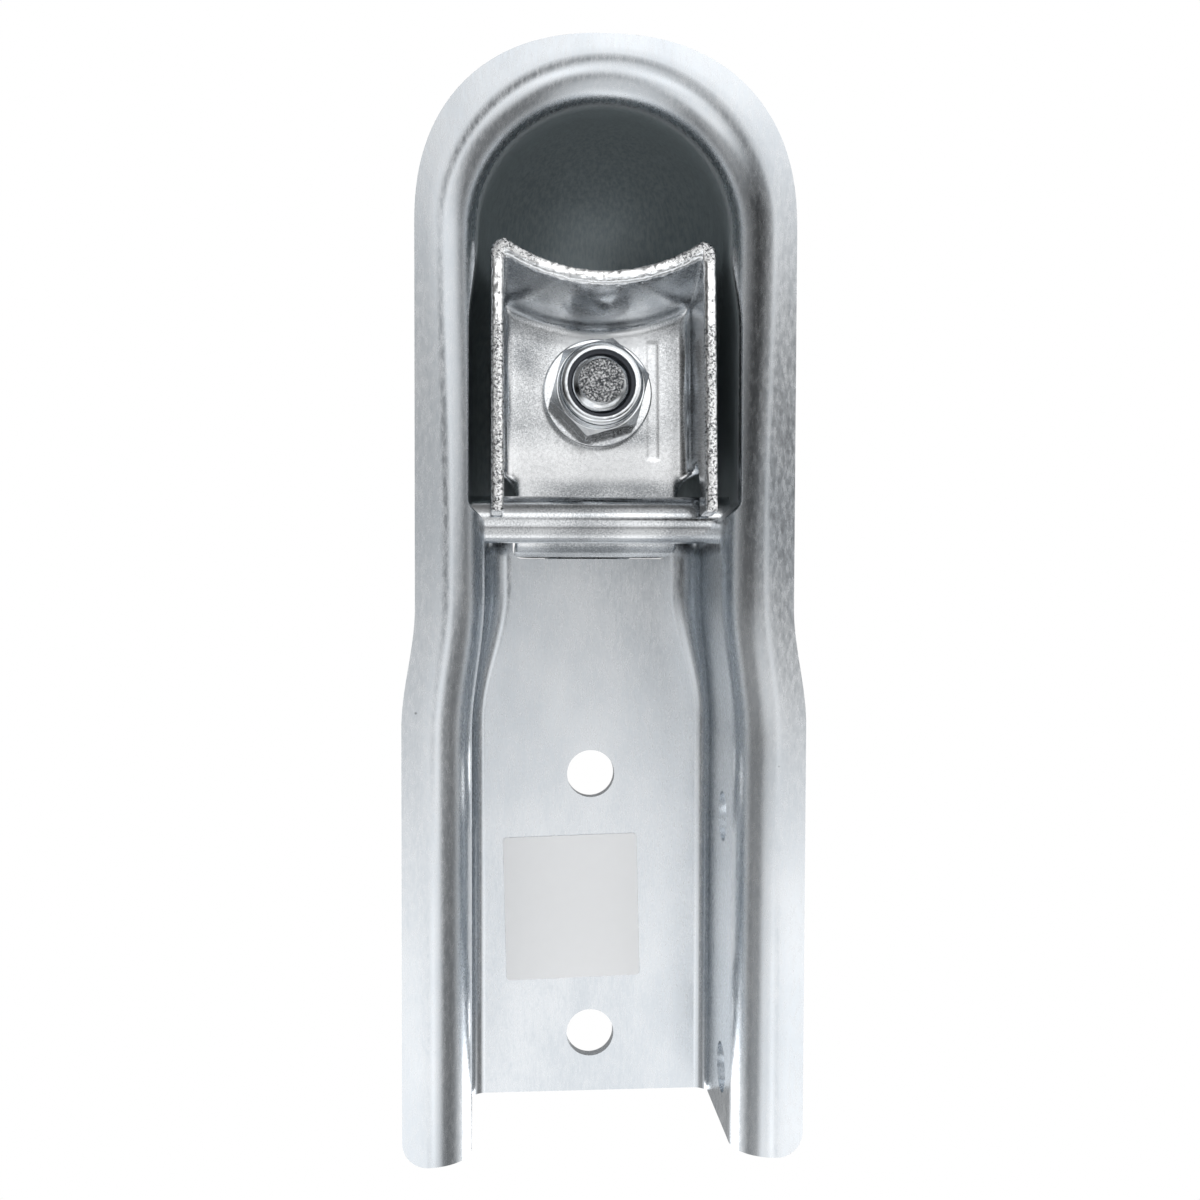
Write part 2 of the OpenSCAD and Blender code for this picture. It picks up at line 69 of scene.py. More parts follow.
camera_data = bpy.data.cameras.new("camera")
camera_data.sensor_width = SENSOR
camera_data.lens = FOCAL_PIXELS / PICTURE_PIXELS * SENSOR
camera_data.clip_start = NEAREST
camera = bpy.data.objects.new("camera", camera_data)
bpy.context.scene.collection.objects.link(camera)
forward = Vector(LOOKS_ALONG).normalized()
right = Vector(PICTURE_RIGHT)
right = (right - right.dot(forward) * forward).normalized()
up = right.cross(forward)
camera.matrix_world = Matrix((right, up, -forward)).transposed().to_4x4()
camera.location = EYE
bpy.context.scene.camera = camera
print("lens", round(camera_data.lens, 2), "mm, up", [round(c, 3) for c in up])

# %% [markdown]
# ## From a shape to an object
#
# Every piece starts as a bmesh, which is Blender's mesh for editing: its operators draw, spin,
# extrude and cut without an object in the scene. It is drawn in millimetres and becomes an
# object in metres at the end. A Boolean or a remesh is a modifier of an object, so another
# helper runs the modifiers and keeps the result, and a later step can work on that mesh.

# %% Make objects, run their modifiers and cut them
MM = 0.001


def into_object(name, bm):
    """Makes an object in metres from a bmesh in millimetres, a closed one with its faces outwards."""
    bm.normal_update()
    if not any(e.is_boundary for e in bm.edges) and bm.calc_volume(signed=True) < 0:
        bmesh.ops.reverse_faces(bm, faces=bm.faces)
    bmesh.ops.scale(bm, vec=(MM, MM, MM), verts=bm.verts)
    mesh = bpy.data.meshes.new(name)
    bm.to_mesh(mesh)
    bm.free()
    obj = bpy.data.objects.new(name, mesh)
    bpy.context.scene.collection.objects.link(obj)
    return obj


def settle(obj):
    """Runs the object's modifiers and keeps what they make as its mesh."""
    bpy.context.view_layer.update()
    done = bpy.data.meshes.new_from_object(obj.evaluated_get(bpy.context.evaluated_depsgraph_get()))
    obj.modifiers.clear()
    obj.data = done
    return obj


def cut(obj, *cutters, operation="DIFFERENCE"):
    """Cuts the cutters out of the object one by one, or joins them to it, and removes them."""
    for cutter in cutters:
        step = obj.modifiers.new("cut", "BOOLEAN")
        step.object, step.operation, step.solver = cutter, operation, "EXACT"
        settle(obj)
        bpy.data.objects.remove(cutter)
    return obj


print("one unit of a drawing is", MM, "m")

# %% [markdown]
# Most of the small pieces are turned parts. Each is one profile of radius and height that Spin
# carries once round an axis; a cylinder primitive would have no chamfers.

# %% Spin a profile into a round piece
COARSE, AROUND, FINE, SAME_POINT = 72, 96, 120, 1e-4


def spun(name, profile, place=Matrix(), steps=AROUND):
    """A round piece: the profile's (radius, height) points turned once about Z, then placed."""
    bm = bmesh.new()
    line = [bm.verts.new((r, 0, z)) for r, z in profile]
    for a, b in zip(line, line[1:]):
        bm.edges.new((a, b))
    if profile[0][0] > 0:
        bm.edges.new((line[-1], line[0]))
    bmesh.ops.spin(bm, geom=bm.verts[:] + bm.edges[:], cent=(0, 0, 0), axis=(0, 0, 1),
                   angle=2 * pi, steps=steps, use_merge=True)
    bmesh.ops.remove_doubles(bm, verts=bm.verts, dist=SAME_POINT)
    bmesh.ops.recalc_face_normals(bm, faces=bm.faces)
    bmesh.ops.transform(bm, matrix=place, verts=bm.verts)
    return into_object(name, bm)


print("round pieces have", AROUND, "sides")

# %% [markdown]
# ## Zinc, satin and bright
#
# The shell is cold-rolled sheet with a satin zinc plate: pale, cool and finely grained along the
# rolling direction. The clamp, pin, bolt, nut and washer have a brighter plate that is nearly a
# mirror with small speckles. A picture of real zinc could be wrapped round them, but noise on
# Object coordinates needs no picture and has no seams.

# %% A helper that adds and joins the nodes of a material


class Finish:
    """A material whose nodes are added and joined one at a time."""

    def __init__(self, name, **constants):
        self.material = bpy.data.materials.new(name)
        self.material.use_nodes = True
        self.tree = self.material.node_tree
        self.shader = self.tree.nodes["Principled BSDF"]
        for key, value in constants.items():
            self.shader.inputs[key.replace("_", " ")].default_value = value
        self.place = self.add("TexCoord").outputs["Object"]

    def add(self, kind, inputs=None, **settings):
        made = self.tree.nodes.new("ShaderNode" + kind)
        for key, value in settings.items():
            setattr(made, key, value)
        for key, value in (inputs or {}).items():
            if isinstance(value, bpy.types.NodeSocket):
                self.tree.links.new(value, made.inputs[key])
            else:
                made.inputs[key].default_value = value
        return made

    def mapped(self, scale=(1, 1, 1), location=(0, 0, 0), rotation=(0, 0, 0)):
        inputs = {"Vector": self.place, "Scale": scale, "Location": location, "Rotation": rotation}
        return self.add("Mapping", inputs).outputs["Vector"]

    def noise(self, vector, scale, detail=3.0, roughness=0.55):
        inputs = {"Vector": vector, "Scale": scale, "Detail": detail, "Roughness": roughness}
        return self.add("TexNoise", inputs).outputs["Fac"]

    def span(self, value, low, high, out_low=0.0, out_high=1.0, smooth=True):
        kind = "SMOOTHSTEP" if smooth else "LINEAR"
        inputs = {"Value": value, "From Min": low, "From Max": high, "To Min": out_low, "To Max": out_high}
        return self.add("MapRange", inputs, interpolation_type=kind).outputs["Result"]

    def math(self, kind, a, b=0.0):
        return self.add("Math", {0: a, 1: b}, operation=kind).outputs["Value"]

    def mix_colour(self, factor, a, b):
        made = self.tree.nodes.new("ShaderNodeMix")
        made.data_type = "RGBA"
        for index, value in ((0, factor), (6, a), (7, b)):
            if isinstance(value, bpy.types.NodeSocket):
                self.tree.links.new(value, made.inputs[index])
            else:
                made.inputs[index].default_value = value
        return made.outputs[2]

    def bump(self, height, strength, distance, under=None):
        inputs = {"Height": height, "Strength": strength, "Distance": distance * MM}
        if under is not None:
            inputs["Normal"] = under
        return self.add("Bump", inputs).outputs["Normal"]

    def join(self, key, value):
        self.tree.links.new(value, self.shader.inputs[key])


print("a finish can", sorted(k for k in vars(Finish) if not k.startswith("_")))

# %% [markdown]
# All the plates share one recipe: large clouds and a fine grain choose between a pale and a deep
# grey, and the grain also moves the roughness and, as a bump, the surface's direction.

# %% The recipe of a zinc plate
CLOUD_SCALE, CLOUD_EDGE, GRAIN_EDGE = 60.0, (0.36, 0.64), (0.3, 0.7)


def plated(name, pale, deep, rough, spread, grain, depth, streak=1.0):
    """Zinc plate: cloudy between two greys, with a fine grain that may be drawn out along Y."""
    f = Finish(name, Metallic=1.0)
    cloud = f.noise(f.mapped(scale=(1, 0.5, 1)), CLOUD_SCALE, detail=4.0)
    fine = f.noise(f.mapped(scale=(1, streak, 1)), grain, detail=5.0, roughness=0.7)
    both = f.math("ADD", f.math("MULTIPLY", cloud, 0.5), f.math("MULTIPLY", fine, 0.5))
    f.colour = f.mix_colour(f.span(both, *CLOUD_EDGE), (*deep, 1), (*pale, 1))
    f.roughness = f.span(fine, *GRAIN_EDGE, rough - spread, rough + spread)
    f.normal = f.bump(fine, strength=0.5, distance=depth)
    f.fine = fine
    return f


def joined(f):
    """Joins the recipe's colour, roughness and bump to the shader and gives the material."""
    f.join("Base Color", f.colour)
    f.join("Roughness", f.roughness)
    f.join("Normal", f.normal)
    print(f.material.name, len(f.tree.nodes), "nodes")
    return f.material


print("clouds are about", round(1000 / CLOUD_SCALE), "mm wide")

# %% [markdown]
# The dome of the ball socket and the side pockets are painted dark grey: painted shade, standing in for
# the shade that falls deep in these recesses. A second material with its own faces would leave a hard
# line, so one mask does it: it compares the surface's direction with its place around the socket's axis,
# which tells the inside from the outside, and fades towards the flange and the channel.

# %% Satin zinc with painted shade in the socket
SHADE_DARK, SHADE_LIGHT = (0.19, 0.222, 0.235, 1), (0.27, 0.31, 0.325, 1)
FACES_OUT, FACES_IN = -0.35, -0.85
SHADE_LOW, SHADE_FULL, SHADE_FRONT, SHADE_REAR = -9.8, -6.8, 47.0, 60.0
SHADE_ROUGH, SHADE_METAL = 0.2, 0.45

satin = plated("satin_zinc", pale=(0.785, 0.812, 0.84), deep=(0.645, 0.685, 0.725), rough=0.25,
               spread=0.04, grain=1500.0, depth=0.014, streak=0.3)
part = satin.add("SeparateXYZ", {"Vector": satin.place}).outputs
outward = satin.add("CombineXYZ", {"X": part["X"], "Y": satin.math("MINIMUM", part["Y"], 0.0),
                                   "Z": satin.math("MAXIMUM", part["Z"], 0.0)}).outputs["Vector"]
radial = satin.add("VectorMath", {0: outward}, operation="NORMALIZE").outputs["Vector"]
facing = satin.add("VectorMath", {0: satin.add("TexCoord").outputs["Normal"], 1: radial},
                   operation="DOT_PRODUCT").outputs["Value"]
inside = satin.span(facing, FACES_OUT, FACES_IN)
high = satin.span(part["Z"], SHADE_LOW * MM, SHADE_FULL * MM)
forward_part = satin.span(part["Y"], SHADE_REAR * MM, SHADE_FRONT * MM)
# Painted shade: inside the socket's dome and the side pockets the colour goes to dark grey, the roughness
# up and the metal down.
painted_shade = satin.math("MULTIPLY", satin.math("MULTIPLY", inside, high), forward_part)
shade_colour = satin.mix_colour(satin.span(satin.fine, *GRAIN_EDGE), SHADE_DARK, SHADE_LIGHT)
satin.colour = satin.mix_colour(painted_shade, satin.colour, shade_colour)
satin.roughness = satin.math("ADD", satin.roughness, satin.math("MULTIPLY", painted_shade, SHADE_ROUGH))
satin.join("Metallic", satin.span(painted_shade, 0.0, 1.0, 1.0, SHADE_METAL, smooth=False))
print("the socket is charcoal above", SHADE_LOW, "mm")

# %% [markdown]
# Sheet that has been handled has a few dark specks. Voronoi cells give each speck a place of its
# own, and the cell's random colour keeps only a few of them.

# %% A few specks on the satin plate
SPECK_SCALE, FEW, SPECK_EDGE, SPECK_DARK = 85.0, (0.80, 0.82), (0.026, 0.012), (0.12, 0.125, 0.13, 1)
spots = satin.add("TexVoronoi", {"Vector": satin.place, "Scale": SPECK_SCALE}).outputs
few = satin.span(satin.add("SeparateXYZ", {"Vector": spots["Color"]}).outputs["X"], *FEW)
speck = satin.math("MULTIPLY", few, satin.span(spots["Distance"], *SPECK_EDGE))
satin.colour = satin.mix_colour(satin.math("MULTIPLY", speck, 0.6), satin.colour, SPECK_DARK)
satin_zinc = joined(satin)

# %% [markdown]
# The fastenings have a bright plate, nearly a mirror, whose tiny crystals sparkle. It is the same
# recipe with less roughness, a second and finer bump, and dark points between the crystals.

# %% Bright zinc
CRYSTALS, DARK_POINTS, DARK_EDGE = 4200.0, 2600.0, (0.60, 0.70)


def sparkling(name):
    """The bright plate, from which the worn, sawn and torn ones are made."""
    f = plated(name, pale=(0.855, 0.875, 0.895), deep=(0.68, 0.71, 0.74), rough=0.14, spread=0.05,
               grain=1300.0, depth=0.010)
    f.normal = f.bump(f.noise(f.place, CRYSTALS, detail=2.0), 0.35, 0.006, f.normal)
    dark = f.span(f.noise(f.place, DARK_POINTS, detail=3.0), *DARK_EDGE)
    f.colour = f.mix_colour(f.math("MULTIPLY", dark, 0.45), f.colour, (0.30, 0.31, 0.325, 1))
    return f


bright_zinc = joined(sparkling("bright_zinc"))

# %% [markdown]
# The bolt's end face was sawn, the clamp's sheared rims are torn, and its web has scuffs and a painted
# reflection. Each of these is found by its place in the clamp's own frame, in which the pin's axis is at
# zero and the web is level, so a Mapping node first turns the pattern into that frame.

# %% The bolt's zinc with its sawn end
PIN_Y, PIN_Z, REST_TILT, BOLT_END = 55.0, 3.5, 5.5, -8.5
SAWN_GRAIN, SAWN_EDGE, SAWN_ROUGH = 2300.0, (0.43, 0.66), 0.28
SAWN_DARK, SAWN_LIGHT = (0.06, 0.064, 0.07, 1), (0.72, 0.73, 0.74, 1)


def in_clamp_frame(f):
    """The X, Y and Z outputs of a point's place in the clamp's frame, in metres."""
    turned_back = Matrix.Rotation(radians(REST_TILT), 3, "X") @ Vector((0, -PIN_Y * MM, -PIN_Z * MM))
    own = f.mapped(location=turned_back, rotation=(radians(REST_TILT), 0, 0))
    return f.add("SeparateXYZ", {"Vector": own}).outputs


sawn = sparkling("sawn_end_zinc")
end_face = sawn.span(in_clamp_frame(sawn)["Z"], (BOLT_END + 0.35) * MM, (BOLT_END + 0.15) * MM)
mottle = sawn.span(sawn.noise(sawn.place, SAWN_GRAIN, detail=4.0, roughness=0.7), *SAWN_EDGE)
sawn.colour = sawn.mix_colour(end_face, sawn.colour, sawn.mix_colour(mottle, SAWN_DARK, SAWN_LIGHT))
sawn.roughness = sawn.math("ADD", sawn.roughness, sawn.math("MULTIPLY", end_face, SAWN_ROUGH))
sawn_zinc = joined(sawn)

# %% [markdown]
# Where pieces have slid on each other the plate has scuffs: dull patches with fine dark specks. The pin
# and the washer have them all over, and the clamp has them on its web.

# %% The worn zinc of the pin and the washer
PATCHES, SPECKS, SCUFF_EDGE, WORN = 48.0, 3800.0, (0.40, 0.59), 0.75
SCUFF_DARK, SCUFF_LIGHT = (0.26, 0.275, 0.29, 1), (0.80, 0.815, 0.83, 1)


def scuffs(f):
    """The colour of plate with scuffs: broad dull patches with fine dark specks."""
    broad = f.noise(f.place, PATCHES, detail=2.0, roughness=0.5)
    specks = f.noise(f.place, SPECKS, detail=3.0, roughness=0.7)
    both = f.math("ADD", f.math("MULTIPLY", broad, 0.6), f.math("MULTIPLY", specks, 0.4))
    return f.mix_colour(f.span(both, *SCUFF_EDGE), SCUFF_DARK, SCUFF_LIGHT)


worn = sparkling("worn_zinc")
worn.colour = worn.mix_colour(WORN, worn.colour, scuffs(worn))
worn_zinc = joined(worn)

# %% [markdown]
# The shears tore the clamp's rims, except for a smooth stretch along the wings. The rims are the
# low points that lie on the lip, which follows a circle round the ball's axis, or on the wings.
# A noise decides where the tear is a dark groove, and the same noise makes it deep.

# %% The clamp's torn rims
WING_LOW, WING_IN, WEB_LOW, WEB_TOP = -15.371, 19.5, 5.05, 7.65
LIP_R, LIP_CENTRE, LIP_W, DISH_W = 33.5, 80.99, 1.7, 13.0
SMOOTH_FRONT, SMOOTH_REAR, TEAR_GRAIN, TEAR_EDGE, TEAR_DEEP = -50.0, -36.0, 2100.0, (0.515, 0.565), 0.09
RIM_HIGH = 1.0
TORN_LIGHT, TORN_DARK = (0.93, 0.935, 0.94, 1), (0.13, 0.135, 0.145, 1)

torn = sparkling("torn_rim_zinc")
own = in_clamp_frame(torn)
low = torn.span(own["Z"], (WING_LOW + RIM_HIGH) * MM, (WING_LOW + 0.55) * MM)
flat = torn.add("CombineXYZ", {"X": own["X"], "Y": torn.math("ADD", own["Y"], LIP_CENTRE * MM)})
from_ball = torn.add("VectorMath", {0: flat.outputs["Vector"]}, operation="LENGTH").outputs["Value"]
on_lip = torn.span(from_ball, (LIP_R + LIP_W + 0.3) * MM, (LIP_R + LIP_W) * MM)
on_wing = torn.span(torn.math("ABSOLUTE", own["X"]), (WING_IN - 0.2) * MM, (WING_IN + 0.1) * MM)
rim = torn.math("MULTIPLY", low, torn.math("MAXIMUM", on_lip, on_wing))
smooth_part = torn.math("MULTIPLY", torn.span(own["Y"], SMOOTH_FRONT * MM, (SMOOTH_FRONT + 2) * MM),
                        torn.span(own["Y"], SMOOTH_REAR * MM, (SMOOTH_REAR - 2) * MM))
ragged = torn.math("MULTIPLY", rim, torn.math("SUBTRACT", 1.0, torn.math("MULTIPLY", smooth_part, 0.85)))
tear = torn.noise(torn.place, TEAR_GRAIN, detail=4.0, roughness=0.75)
groove = torn.math("MULTIPLY", torn.span(tear, *TEAR_EDGE), ragged)
torn.colour = torn.mix_colour(rim, torn.colour, TORN_LIGHT)
torn.colour = torn.mix_colour(groove, torn.colour, TORN_DARK)
torn.normal = torn.bump(torn.math("MULTIPLY", tear, ragged), 1.0, TEAR_DEEP, torn.normal)
print("the torn rims are the lowest", RIM_HIGH, "mm of the clamp")

# %% [markdown]
# The web has scuffs from the washer, apart from a band next to the pin that is painted bright as a painted
# reflection. The rims, the web and the dished wall are each a little rougher than the rest of the clamp.

# %% The clamp's web: scuffs and a painted reflection
REFLECTION_BAND, REFLECTION_LIGHT = (-18.0, -14.0, -10.0, -7.0), (0.93, 0.94, 0.95, 1)
RIM_ROUGH, WEB_ROUGH, DISH_ROUGH = 0.15, 0.12, 0.10

web = torn.span(own["Z"], (WEB_LOW - 0.8) * MM, (WEB_LOW - 0.2) * MM)
# Painted reflection: a band across the web next to the pin is mixed towards a bright grey.
painted_reflection = torn.math("MULTIPLY", torn.span(own["Y"], REFLECTION_BAND[0] * MM, REFLECTION_BAND[1] * MM),
                   torn.span(own["Y"], REFLECTION_BAND[3] * MM, REFLECTION_BAND[2] * MM))
scuffs_and_reflection = torn.mix_colour(torn.math("MULTIPLY", painted_reflection, 0.7), scuffs(torn), REFLECTION_LIGHT)
torn.colour = torn.mix_colour(web, torn.colour, scuffs_and_reflection)
dish = torn.math("SUBTRACT", torn.span(from_ball, (LIP_R + DISH_W) * MM, (LIP_R + DISH_W - 3) * MM), rim)
for place, rougher in ((ragged, RIM_ROUGH), (web, WEB_ROUGH), (dish, DISH_ROUGH)):
    torn.roughness = torn.math("ADD", torn.roughness, torn.math("MULTIPLY", place, rougher))
torn_zinc = joined(torn)

# %% [markdown]
# ## The shell
#
# The shell is pressed from one sheet. It could be cut from solid blocks, or a single skin could
# be thickened with Solidify, but that folds over itself where the neck narrows in a few
# millimetres. So the section is drawn as a closed strip with both its skins, extruded from
# station to station and reshaped at each, and the nose is the same strip spun half round.
# First come the widths: the walls step out to the pockets beside the clamp, in to the neck and
# out again to the channel, each with a smooth start and end.

# %% The shell's sizes along its length
BALL_SEAT, SHEET, DROP, FOOT = 24.4, 3.0, 14.5, 8.5
NOSE, POCKET, NECK, REAR, FLANGE_REAR = 36.4, 26.3, 23.2, 25.75, 39.0
FOLD, REAR_Y, TIP = 3.0, 180.0, 5.0
POCKET_START, POCKET_FULL, POCKET_END = 0.0, 18.0, 51.5
NECK_START, NECK_END, REAR_START, STEP_START, STEP_END = 56.0, 70.0, 98.0, 72.0, 95.0
SOCKET_END = 26.0


def eased(y, a, b, p, q):
    """Goes smoothly from p to q while y goes from a to b."""
    s = min(1.0, max(0.0, (y - a) / (b - a)))
    return p + (q - p) * s * s * (3 - 2 * s)


def half_in(y):
    if y < POCKET_END:
        return eased(y, POCKET_START, POCKET_FULL, BALL_SEAT, POCKET)
    if y < NECK_END:
        return eased(y, POCKET_END, NECK_START, POCKET, NECK)
    return eased(y, NECK_END, REAR_START, NECK, REAR)


def half_out(y):
    return eased(y, STEP_START, STEP_END, NOSE, FLANGE_REAR)


def roof_r(y):
    return eased(y, 0, SOCKET_END, BALL_SEAT, 2 * FOLD) + eased(y, NECK_END, REAR_START, 0, -FOLD)


print("half widths inside at 0, 30, 80 and 180 mm:", [round(half_in(y), 1) for y in (0, 30, 80, REAR_Y)])

# %% [markdown]
# One half of the section runs along the flange, through the fillet that the press left at the
# wall's foot, up the wall, round the fold and along half the roof. Both skins follow the same
# line, the outer one a sheet's thickness off. More points lie where the line bends.

# %% The shell's section and its stations
FLANGE_STEPS, FILLET_STEPS, FOLD_STEPS, ROOF_STEPS = 3, 16, 18, 4
UP_THE_WALL = (0.04, 0.15, 0.35, 0.55, 0.75, 0.9)
PLAIN_STATIONS = (36.0, 42.0, 48.0, 50.5, 60.0, 65.0, 110.0, 125.0, 140.0, 155.0, 170.0)


def half_section(w, root, f, r, off):
    """One skin, off above the inner one: flange's edge, fillet, wall, fold and half the roof."""
    centre, foot_z, turn, fold = root + FOOT, FOOT - DROP, FOOT - off, r + off
    end = asin(min(1.0, (centre - w - off) / turn))
    low, top = foot_z - turn * cos(end), BALL_SEAT - r
    line = [(f + (centre - f) * i / FLANGE_STEPS, off - DROP) for i in range(FLANGE_STEPS)]
    for i in range(FILLET_STEPS + 1):
        a = end * i / FILLET_STEPS
        line.append((centre - turn * sin(a), foot_z - turn * cos(a)))
    line += [(w + off, low + (top - low) * t) for t in UP_THE_WALL]
    for i in range(FOLD_STEPS + 1):
        a = pi / 2 * i / FOLD_STEPS
        line.append((w - r + fold * cos(a), top + fold * sin(a)))
    line += [((w - r) * (1 - i / ROOF_STEPS), BALL_SEAT + off) for i in range(1, ROOF_STEPS + 1)]
    return line


def skin_line(y, off):
    root = half_in(y) if y > NECK_START else eased(y, POCKET_START, NECK_START, BALL_SEAT, NECK)
    half = half_section(half_in(y), root, half_out(y), roof_r(y), off)
    return [Vector((x, y, z)) for x, z in half] + [Vector((-x, y, z)) for x, z in half[-2::-1]]


def whole_section(y):
    """The closed strip: along the inner skin, then back along the outer one."""
    return skin_line(y, 0) + skin_line(y, SHEET)[::-1]


def between(a, b, steps):
    return [a + (b - a) * i / steps for i in range(steps + 1)]


stations = sorted({*between(0.0, SOCKET_END, 20), *between(POCKET_END, NECK_START, 12),
                   *between(NECK_END, REAR_START, 20), *PLAIN_STATIONS, REAR_Y})
print(len(stations), "stations,", len(whole_section(0)), "points in a section")

# %% [markdown]
# Extrude Edges gives the next station a copy of the chain of edges. An integer layer remembers
# which point of the section each vertex is, so the copy can be moved to its place. The nose is
# then the half of the first section at positive X, spun half round.

# %% Extrude the section from station to station and spin the nose
NOSE_STEPS, JOINED = 64, 1e-3
bm = bmesh.new()
spot = bm.verts.layers.int.new("spot")
first = [bm.verts.new(p) for p in whole_section(0)]
for i, vert in enumerate(first):
    vert[spot] = i
chain = [bm.edges.new(pair) for pair in zip(first, first[1:] + first[:1])]
nose_line = [e for e in chain if all(v.co.x > -0.001 for v in e.verts)]
for y in stations[1:]:
    grown = bmesh.ops.extrude_edge_only(bm, edges=chain)["geom"]
    line = whole_section(y)
    fresh = {v for v in grown if isinstance(v, bmesh.types.BMVert)}
    for vert in fresh:
        vert.co = line[vert[spot]]
    chain = [e for e in grown if isinstance(e, bmesh.types.BMEdge) and set(e.verts) <= fresh]
bmesh.ops.holes_fill(bm, edges=chain, sides=0)
nose_geom = nose_line + list({v for e in nose_line for v in e.verts})
bmesh.ops.spin(bm, geom=nose_geom, cent=(0, 0, 0), axis=(0, 0, 1), angle=-pi, steps=NOSE_STEPS)
bmesh.ops.remove_doubles(bm, verts=bm.verts, dist=JOINED)
bmesh.ops.dissolve_degenerate(bm, edges=bm.edges, dist=SAME_POINT)
print("drawn shell:", len(bm.faces), "faces")

# %% [markdown]
# The flange round the nose was trimmed a little squarer than a half circle. The rim's outline is
# therefore a superellipse, and the flange's points are drawn out to it, less so near the wall.

# %% Draw the nose's rim out
SQUARENESS = 2.3
for vert in bm.verts:
    reach = vert.co.xy.length
    if vert.co.y < 0 and reach > BALL_SEAT + FOOT:
        across, along = abs(vert.co.x) / reach, abs(vert.co.y) / reach
        outline = NOSE / (across ** SQUARENESS + along ** SQUARENESS) ** (1 / SQUARENESS)
        share = (reach - BALL_SEAT - FOOT) / (NOSE - BALL_SEAT - FOOT)
        vert.co.xy *= 1 + (outline - NOSE) * share / reach
bmesh.ops.recalc_face_normals(bm, faces=bm.faces)
shell = into_object("shell", bm)
print("shell:", len(shell.data.polygons), "faces")

# %% [markdown]
# The holes are pierced after drawing, so they are cut square through the sheet: two tongue holes
# in the roof, two in each wall, the bolt's bore and the pin's bores. A Boolean keeps each rim
# truly round, which moving the skin's own points would not.

# %% The round cutters
HOLE_D, ROOF_HOLE, ROOF_PITCH, SIDE_HOLE, SIDE_PITCH, SIDE_Z = 10.3, 110.0, 57.15, 115.8, 52.4, 4.0
PIN_D, PIN_ROOM, BOLT_BORE_D, ROOF_BORE_Y = 9.5, 0.1, 14.0, 30.534
THROUGH, RIGHT_ACROSS = 20, 90


def rod(name, d, length, place):
    r, half = d / 2, length / 2
    return spun(name, [(0, -half), (r, -half), (r, half), (0, half)], place, COARSE)


def upright(y):
    return Matrix.Translation((0, y, BALL_SEAT))


def crosswise(y, z):
    return Matrix.Translation((0, y, z)) @ Matrix.Rotation(pi / 2, 4, "Y")


cutters = [rod("drill", HOLE_D, THROUGH, upright(ROOF_HOLE + i * ROOF_PITCH)) for i in (0, 1)]
cutters += [rod("drill", HOLE_D, RIGHT_ACROSS, crosswise(SIDE_HOLE + i * SIDE_PITCH, SIDE_Z))
            for i in (0, 1)]
cutters.append(rod("drill", BOLT_BORE_D, THROUGH, upright(ROOF_BORE_Y)))
cutters.append(rod("drill", PIN_D + PIN_ROOM, RIGHT_ACROSS, crosswise(PIN_Y, PIN_Z)))
print(len(cutters), "drills")

# %% [markdown]
# The clamp's tail comes up through a slot with rounded corners: a box whose upright edges are
# bevelled. The flange's rear corners are rounded too, each by a corner block less a rod.

# %% The slot's cutter and the flange's rear corners
TAIL_W, SLOT_SIDE, SLOT_CORNER, SLOT_FRONT, SLOT_REAR = 33.6, 0.2, 2.0, 54.567, 63.2
CORNER_LOW, CORNER_HIGH = -20, -5


def block(name, low, high, place=Matrix()):
    """A plain box between two corners, then placed."""
    bm = bmesh.new()
    size = Vector(high) - Vector(low)
    bmesh.ops.create_cube(bm, size=1)
    bmesh.ops.scale(bm, vec=size, verts=bm.verts)
    bmesh.ops.translate(bm, vec=(Vector(high) + Vector(low)) / 2, verts=bm.verts)
    bmesh.ops.transform(bm, matrix=place, verts=bm.verts)
    return into_object(name, bm)


def slab(name, size, corner, segments, place):
    """A box round zero whose upright edges are rounded, then placed."""
    bm = bmesh.new()
    bmesh.ops.create_cube(bm, size=1)
    bmesh.ops.scale(bm, vec=size, verts=bm.verts)
    uprights = [e for e in bm.edges if abs(e.verts[0].co.z - e.verts[1].co.z) > size[2] / 2]
    bmesh.ops.bevel(bm, geom=uprights, offset=corner, segments=segments, profile=0.5, affect="EDGES",
                    material=-1)
    bmesh.ops.transform(bm, matrix=place, verts=bm.verts)
    return into_object(name, bm)


slot_size = (TAIL_W + 2 * SLOT_SIDE, SLOT_REAR - SLOT_FRONT, THROUGH)
cutters.append(slab("slot", slot_size, SLOT_CORNER, 8, upright((SLOT_REAR + SLOT_FRONT) / 2)))
for side in (-1, 1):
    centre = Matrix.Translation((side * (FLANGE_REAR - TIP), REAR_Y - TIP, 0))
    mirrored_side = centre @ Matrix.Scale(side, 4, (1, 0, 0))
    corner = block("corner", (0, 0, CORNER_LOW), (TIP + 2, TIP + 2, CORNER_HIGH), mirrored_side)
    cut(corner, rod("round", 2 * TIP, 3 * THROUGH, centre @ Matrix.Translation((0, 0, -10))))
    cutters.append(corner)
print(len(cutters), "cutters")

# %% [markdown]
# Edges that a press or a punch leaves are never sharp, and a thin bevel catches the light as they do.
# After the cuts, points that lie almost on each other would tear the bevel open, so they are merged first.
# Every piece then gets its metal and its body in one call.

# %% Pierce the shell and soften its edges
SEAM = 0.002


def edge_softened(obj, width, segments=2, angle=35):
    """Rounds the sharp edges a little and smooths the rest."""
    soft = obj.modifiers.new("soft edges", "BEVEL")
    soft.width, soft.segments, soft.limit_method = width * MM, segments, "ANGLE"
    soft.angle_limit, soft.harden_normals = radians(angle), True
    obj.data.shade_smooth()
    return obj


def finished(obj, body, slot, material, *nodes):
    """Gives the piece its metal and its body and hides the CAD nodes that it stands for; slot is not used.
    """
    obj.data.materials.clear()
    obj.data.materials.append(material)
    obj.data.shade_smooth()
    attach(obj, body)
    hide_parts(*nodes)
    print(obj.name, len(obj.data.polygons), "faces")
    return obj


